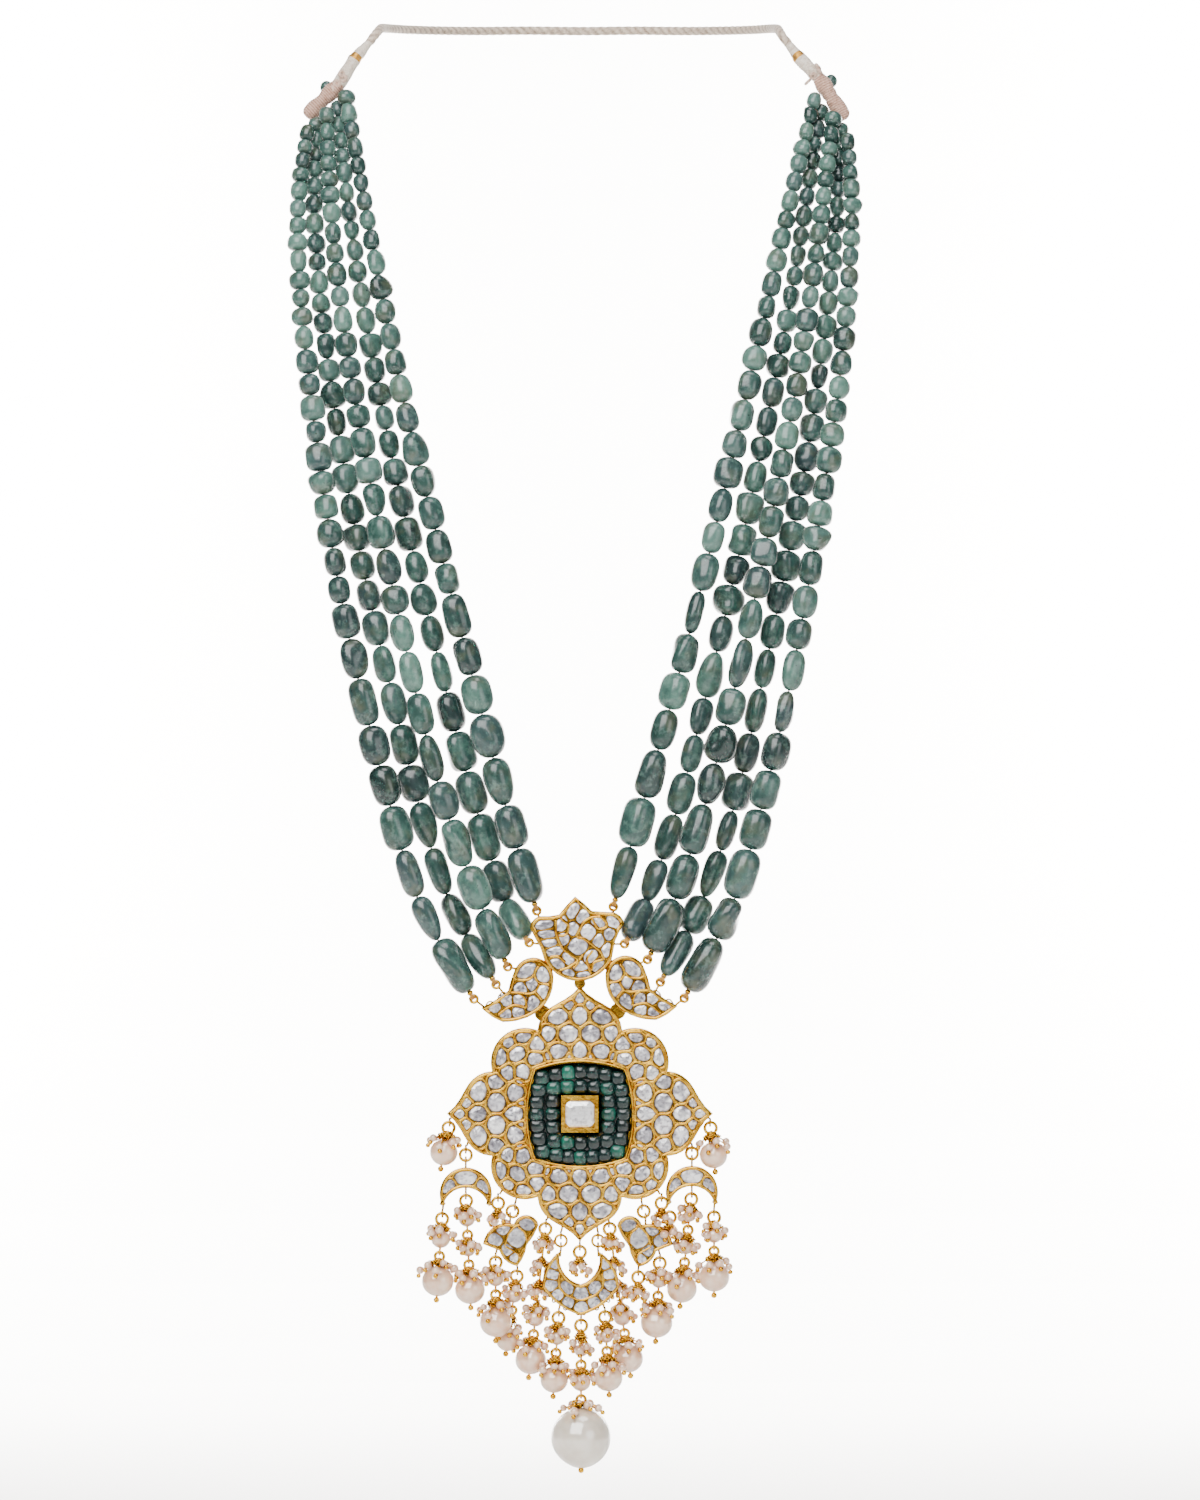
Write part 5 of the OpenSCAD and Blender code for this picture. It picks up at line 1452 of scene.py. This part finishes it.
@dataclass
class BeadString:
    """One string of tumbled emerald beads, graded from fine ones at the neck to large ones at the pendant."""
    side: int
    k: int
    # beads narrower than this have fewer faces, and those wider than the second are squarer
    fine: float = 5.4
    square_from: float = 6.2
    thread_r: float = 0.25
    loop_r: float = 0.85
    loop_wire: float = 0.2

    @property
    def label(self) -> str:
        """The string's name, as in the solids."""
        return ("l" if self.side < 0 else "r") + str(self.k + 1)

    def layout(self) -> tuple[Array, Array, Array, Array]:
        """Sets out the beads along the line.

        Returns:
            Lower ends, upper ends, widths and egg shares of the beads.
        """
        rng = np.random.default_rng(100 + 10 * self.k + self.side)
        line = string_line(self.side, self.k)
        runs = run_along(line)
        low = np.array(LOW_BEADS[self.side][self.k])
        start = STRING_START + low[:, 0].sum()
        more = BEAD_COUNT[self.side][self.k] - len(low)
        share = np.linspace(0, 1, 60)
        height = np.interp(start + share * (runs[-1] - start), runs, line[:, 2])
        dense = 1 / np.interp(height, FINE_SIZES[:, 0], FINE_SIZES[:, 1])
        count = np.concatenate([[0], np.cumsum((dense[1:] + dense[:-1]) / 2)])
        cuts = np.interp(np.linspace(0, 1, more + 1), count / count[-1], share)
        lengths = np.diff(cuts) * rng.uniform(0.86, 1.14, more)
        marks = start + np.cumsum(lengths) / lengths.sum() * (runs[-1] - start)
        marks = np.concatenate([[STRING_START], STRING_START + np.cumsum(low[:, 0]), marks])
        middle = np.interp(marks[len(low):-1], runs, line[:, 2])
        wide = np.interp(middle, FINE_SIZES[:, 0], FINE_SIZES[:, 2]) * rng.uniform(0.88, 1.1, more)
        ends = points_at(line, marks)
        egg = rng.choice([0, 0, 0.12, -0.12, 0.25], more)
        return ends[:-1], ends[1:], np.concatenate([low[:, 1], wide]), np.concatenate([low[:, 2], egg])

    def beads(self) -> Shape:
        """Tumbled barrels: radius (1 - |t|^p)^(1/2.3) about each bead's axis, with worn lumps round it.

        Returns:
            The beads with values tint, grey and shift; the finer ones have fewer faces.
        """
        rng = np.random.default_rng(500 + 10 * self.k + self.side)
        low, high, width, egg = self.layout()
        parts = []
        for rows, cols, pick in ((15, 20, width >= self.fine), (9, 12, width < self.fine)):
            a, b, wide, n = low[pick], high[pick], width[pick, None, None], int(pick.sum())
            along, heart = unit(b - a), (a + b) / 2
            half = (np.linalg.norm(b - a, axis=1) - BEAD_GAP)[:, None, None] / 2
            u, v = across(along, -TOWARDS)
            t = np.sin(np.linspace(-1, 1, rows) * np.pi / 2 * 0.985)[:, None]
            th = circle(cols)
            power = rng.uniform(2.2, 3.4, (n, 1, 1))
            power = power + (wide > self.square_from) * rng.uniform(0, 1.2, (n, 1, 1))
            r = (1 - np.abs(t) ** power) ** (1 / 2.3) * (1 + 0.6 * egg[pick, None, None] * t)
            for waves, size in ((2, 0.07), (3, 0.045), (5, 0.02)):
                deep = rng.normal(0, size, (n, 1, 1))
                r = r * (1 + deep * np.cos(
                    waves * th + rng.uniform(0, 6, (n, 1, 1)) + rng.normal(0, 1.2, (n, 1, 1)) * t))
            r = r * wide / 2 / r.mean(axis=2, keepdims=True).max(axis=1, keepdims=True)
            steps = ((half * t, along), (r * np.cos(th), u), (r * np.sin(th), v))
            grid = heart[:, None, None] + sum(far[..., None] * way[:, None, None] for far, way in steps)
            lift = 0.16 * (heart[:, 2, None, None] + 150) / 100
            tint = np.clip(rng.normal(0.5, 0.24, (n, 1, 1)) + lift, 0.02, 1)
            grey = np.clip(rng.normal(0.12, 0.2, (n, 1, 1)), 0, 0.75)
            parts.append(surface(grid, tint=tint, grey=grey, shift=rng.uniform(0, 0.5, (n, 1, 1))))
        return joined(parts)

    def thread(self) -> Shape:
        """The silk thread: a fine tube through all beads, and three gold turns of it round the eye.

        Returns:
            Both with the values turn, zari and pale.
        """
        line = string_line(self.side, self.k)
        up = unit(line[2] - line[0])
        foot = line[0] + up * (1.7 + 0.6 * np.linspace(0, 1, 26)[:, None])
        tube = swept(np.concatenate([foot, line[3:]])[None], self.thread_r, 8, -TOWARDS)
        level = unit(up * [1, 0, 1])
        at = line[0] + self.loop_r * level + np.cross(TOWARDS, level) * np.array([[-0.36], [0], [0.36]])
        loops = rings(at, self.loop_r, self.loop_wire, TOWARDS, level, turn=0.8, zari=1.0, pale=0.0)
        return joined([surface(tube, turn=1.0, zari=0.0, pale=0.0), loops])

    def ball(self) -> Shape:
        """The small gold bead between the eye and the first emerald, wound round like a barrel."""
        line = string_line(self.side, self.k)
        up = unit(line[2] - line[0])
        return balls((line[0] + 1.75 * up)[None], np.array([0.8]), 10, 16, 0.75, up[None], deep=np.zeros(1))

    def build(self) -> tuple[Shape, Shape]:
        """Adds the emeralds; the thread and gold bead are returned, for one piece of each on a side."""
        add_piece("emerald_beads_" + self.label, self.beads(), EMERALD,
                  replaces=("beads_" + self.label, "string_" + self.label))
        return self.thread(), self.ball()


@dataclass
class StringEnd:
    """The thread-wound bar that gathers five strings, and the wound cone above it with its gold band."""
    label: str
    side: int
    bar: tuple[Point, Point]
    band: Point
    tip: Point
    bead: Point
    turn_mm: float = 0.6
    bar_r: float = 2.0
    cone_r: tuple[float, float, float] = (1.75, 1.75, 1.0)
    # half the gold band's width, and how far past the cone's corner its middle lies
    band_half: float = 0.75
    band_past: float = 0.6
    bead_r: float = 1.6

    def wound(self, pts: Array, fat: Array, lobes: float,
              rng: np.random.Generator) -> tuple[Array, Array, Array]:
        """A wound tube: its radius ripples with each turn, whose place along the line wanders.

        Args:
            pts: corners of its line.
            fat: radius at each corner.
            lobes: depth of the two soft lobes along it, as a share of the radius.
            rng: source of the wandering.
        Returns:
            The grid, the ripple at each vertex (which also places the painted shade in the grooves) and the
            run along the line.
        """
        knots = run_along(pts)
        s = np.linspace(0, knots[-1], int(knots[-1] / self.turn_mm * 7))
        core = softened(points_at(pts, s), 9)
        from_end = np.minimum(s, knots[-1] - s)
        ends = np.sqrt(np.clip(1 - (np.clip(1.5 - from_end, 0, None) / 1.55) ** 2, 0.05, 1)) if lobes else 1
        th = circle(30)
        wander = np.interp(s, np.linspace(0, knots[-1], 9), rng.normal(0, 1.1, 9))[:, None]
        ripple = (0.5 + 0.5 * np.cos(2 * np.pi * s[:, None] / self.turn_mm + th + wander)) ** 0.7
        waist = lobes * np.cos(4 * np.pi * s / knots[-1] + np.pi)[:, None]
        lump = 1 + 0.05 * np.cos(2 * th + wander * 2) + waist
        r = (np.interp(s, knots, fat) * ends)[:, None] * lump * (0.95 + 0.05 * ripple)
        return swept(core[None], r[None], 30, np.array([0.0, 1.0, 0.1])), ripple[None], s

    def build(self) -> None:
        """Adds the bar, the cone with its narrow gold band, curled knots at the bar's top, and the bead."""
        rng = np.random.default_rng(40 + self.side)
        bar = np.array(self.bar)
        grid, ripple, _ = self.wound(bar, np.full(2, self.bar_r), 0.07, rng)
        # turn paints shade in the grooves between turns and light on each turn
        parts = [surface(grid, turn=ripple, zari=0.0, pale=0.0)]
        cone = np.array([bar[1] + 0.08 * (bar[0] - bar[1]), self.band, self.tip])
        grid, ripple, s = self.wound(cone, np.array(self.cone_r), 0.0, rng)
        past = np.abs(s - np.linalg.norm(cone[1] - cone[0]) - self.band_past)
        parts.append(surface(grid, turn=ripple, zari=(past < self.band_half)[None, :, None], pale=1.0))
        at = bar[1] + np.array([[0.6, -1.5, 0.9], [-1.0, -1.7, -0.4], [0.2, -1.3, 2.0], [-2.4, -1.6, -1.9]])
        flat = unit(rng.normal(0, 1, (4, 3)) * [1, 0.4, 1])
        steep = unit(np.cross(flat, rng.normal(0, 1, (4, 3))))
        parts.append(rings(at, 0.72, 0.42, flat, steep, 16, turn=0.8, zari=0.0, pale=0.3))
        add_piece("wound_end_" + self.label, joined(parts), THREAD,
                  replaces=("string_end_" + self.label,))
        tint = np.array([0.55])
        bead = balls(np.array([self.bead]), np.array([self.bead_r]), 14, 22, 1.1, tint=tint, grey=tint * 0.1,
                     shift=tint)
        add_piece("emerald_end_" + self.label, bead, EMERALD)


@dataclass
class NeckCord:
    """Twisted cord round the back of the neck, which the picture doesn't show."""
    radius: float = 1.2
    lay_mm: float = 7.0

    def build(self) -> None:
        """Adds it: three plies, radius R * (0.84 + 0.15 * |cos|), turning once in each lay, with painted
        shade between them.
        """
        left = np.array([[-53.5, -57, -7], [-51.9, -56.2, -4.9], [-51, -52, -3.4], [-50.6, -45, -2.6]])
        right = np.array([[50.2, -45, -2.8], [50.5, -52, -3.7], [51.3, -56.1, -5.4], [52.8, -57, -7.5]])
        half = np.array([[-48.8, -35, -2], [-44, -24, -1.5], [-36, -14, -1], [-26, -6, -0.5], [-14, -0.5, 0]])
        pts = np.concatenate([left, half, [[0, 1.2, 0]], half[::-1] * [-1, 1, 1], right])
        path = np.concatenate([curve_through(pts, 22), pts[-1:]])
        ply = np.abs(np.cos(1.5 * (circle(24) - 2 * np.pi * run_along(path)[:, None] / self.lay_mm)))
        grid = swept(path[None], (self.radius * (0.84 + 0.15 * ply))[None], 24, UP)
        # turn paints shade between the plies
        add_piece("twisted_neck_cord", surface(grid, turn=ply[None], zari=0.0, pale=0.0), CORD,
                  replaces=("neck_cord",))


# Studio

@dataclass
class Studio:
    """Pale sweep, soft lights and the camera at the photograph's angle."""
    distance: float = 2.0
    elevation: float = 1.0
    view_height: float = 0.376
    target: Point = (0.005, -0.085, -0.1862)
    floor_z: float = -0.44
    ambient: float = 0.2
    sensor: float = 24.0
    # the sweep: half its width, where it starts to bend, the bend's radius, and its height
    half_wide: float = 3.0
    bend_y: float = 0.8
    bend_r: float = 0.6
    high: float = 3.0

    def build(self) -> None:
        """Adds the camera first, then the sweep, the world and the lights."""
        cam = bpy.data.cameras.new("camera")
        cam.sensor_fit = "VERTICAL"
        cam.sensor_height = self.sensor
        cam.lens = self.sensor * self.distance / self.view_height
        eye = bpy.data.objects.new("camera", cam)
        e = math.radians(self.elevation)
        x, y, z = self.target
        eye.location = (x, y - self.distance * math.cos(e), z + self.distance * math.sin(e))
        eye.rotation_euler = (math.pi / 2 - e, 0, 0)
        bpy.context.scene.collection.objects.link(eye)
        bpy.context.scene.camera = eye
        self.sweep()
        world = bpy.data.worlds.new("studio")
        world.use_nodes = True
        sky = world.node_tree.nodes["Background"].inputs
        sky["Color"].default_value = linear("#f4f2f0")
        sky["Strength"].default_value = self.ambient
        bpy.context.scene.world = world
        self.light("key", (-0.45, -1.35, 0.85), 1.4, 50)
        self.light("fill", (1.1, -1.4, 0.1), 0.9, 7)
        self.light("top", (0.2, -0.3, 1.1), 0.6, 7)
        for side, name in ((-1, "backdrop_left"), (1, "backdrop_right")):
            self.light(name, (0.62 * side, 0.98, 0.1), 0.45, 76, (0.05 * side, 1.4, -0.2))

    def light(self, name: str, at: Point, size: float, power: float, to: Point | None = None) -> None:
        """Adds a soft square light.

        Args:
            name: its name.
            at: its place in metres.
            size: its side in metres.
            power: its power in watts.
            to: the place that it faces; the object if not given.
        """
        lamp = bpy.data.lights.new(name, "AREA")
        lamp.size = size
        lamp.energy = power
        made = bpy.data.objects.new(name, lamp)
        made.location = at
        way = np.array(to or self.target) - np.array(at)
        made.rotation_euler = (math.acos(-way[2] / np.linalg.norm(way)), 0, math.atan2(-way[0], way[1]))
        bpy.context.scene.collection.objects.link(made)

    def sweep(self) -> None:
        """Adds the floor, which bends up into the backdrop along a quarter circle."""
        bend = np.linspace(0, np.pi / 2, 16)
        r = self.bend_r
        y = np.concatenate([[-self.half_wide], self.bend_y + r * np.sin(bend), [self.bend_y + r]])
        z = np.concatenate([[0], r - r * np.cos(bend), [self.high]]) + self.floor_z
        verts = [(x, float(b), float(c)) for b, c in zip(y, z) for x in (-self.half_wide, self.half_wide)]
        faces = [(2 * i, 2 * i + 1, 2 * i + 3, 2 * i + 2) for i in range(len(y) - 1)]
        mesh = bpy.data.meshes.new("sweep")
        mesh.from_pydata(verts, [], faces)
        mesh.materials.append(finish_of(Matt("studio_paper", "#f3f1ee")))
        made = bpy.data.objects.new("sweep", mesh)
        bpy.context.scene.collection.objects.link(made)


def stone_fields() -> list[StoneField]:
    """The fields of polki of all plates.

    Returns:
        The fields in building order.
    """
    leaf = outline(LEAF_EDGE)
    leaf_edges = np.concatenate([leaf, leaf * [-1, 1] + LEFT_LEAF_SHIFT])
    leaves = np.concatenate([LEAF, moved(mirrored(LEAF), LEFT_LEAF_SHIFT)])
    flower_edges = np.concatenate([flower_edge(360), field_edge()])
    # tight fields: narrow walls with painted shade in the seams between close stones
    tight = dict(wall_half=0.2, wall_high=0.4, wall_deep=0.75, cap=1.2)
    small = dict(tight, stone_rise=0.35, wall_high=0.25, margin=0.55)
    clear = dict(small, wall_half=0.3, wall_high=0.45, wall_deep=0.0)
    out = [StoneField("flower", flower_stones(), PLATE_T, ("flower_stones",), flower_edges, seed=11),
           StoneField("crest", CREST, PLATE_T, ("crest_stones",), outline(CREST_EDGE), seed=12, **tight),
           StoneField("leaf", leaves, PLATE_T, ("leaf_stones",), leaf_edges, seed=13, **tight)]
    for side, label in SIDES:
        trio = TREFOIL if side > 0 else mirrored(TREFOIL)
        trio_edge = outline(TREFOIL_EDGE) * [side, 1] + TREFOIL_AT[side]
        out += [StoneField("crescent_" + label, moved(SIDE_CRESCENT, CRESCENT_AT[side]), SMALL_FACE,
                           ("crescent_" + label + "_stones",), moon() + CRESCENT_AT[side], seed=14, **clear),
                StoneField("trefoil_" + label, moved(trio, TREFOIL_AT[side]), SMALL_FACE,
                           ("trefoil_" + label + "_stones",), trio_edge, seed=16, **small)]
    return out + [StoneField("centre_crescent", HORSESHOE, SMALL_FACE, ("crescent_centre_stones",),
                             outline(HORSESHOE_EDGE), Body.CRESCENT, seed=18, **small)]


def main() -> None:
    """Builds the studio and every piece, in order."""
    logging.basicConfig(level=logging.INFO, format="%(message)s")
    Studio().build()
    for finish, nodes in ((PLATE_GOLD, PLATE_NODES), (WIRE, WIRE_NODES), (TABLE_CUT, ("centre_diamond",))):
        for node in nodes:
            paint_node(node, finish)
    for stones in stone_fields():
        stones.build()
    GoldRims().build()
    EmeraldMosaic().build()
    for drops in (PearlDrops("left_drops", LEFT_DROPS, ("pearls_left",), lone=LONE_LEFT, seed=21),
                  PearlDrops("right_drops", RIGHT_DROPS, ("pearls_right",), lone=LONE_RIGHT, seed=22),
                  PearlDrops("crescent_drops", CRESCENT_DROPS, ("crescent_pearls",), Body.CRESCENT, seed=23),
                  PearlDrops("main_drop", [MAIN_DROP], ("main_drop_pearls",), Body.DROP, seed=24)):
        drops.build()
    MainPearl().build()
    for side, label in SIDES:
        threads, ends = zip(*(BeadString(side, k).build() for k in range(5)))
        add_piece("silk_threads_" + label, joined(threads), THREAD,
                  replaces=("threads_" + label,))
        add_piece("gold_end_beads_" + label, joined(ends), WIRE)
    StringEnd("left", -1, ((-69.5, -61.5, -26.3), (-60.6, -60, -17.4)), (-57.3, -58.5, -11.5),
              (-53.5, -57, -7), (-64.4, -58.2, -18.6)).build()
    StringEnd("right", 1, ((67.2, -61.5, -27.0), (60.0, -60, -15.5)), (55.6, -58.5, -11.2),
              (52.8, -57, -7.5), (63.6, -58.2, -17.0)).build()
    NeckCord().build()


if __name__ == "__main__":
    main()
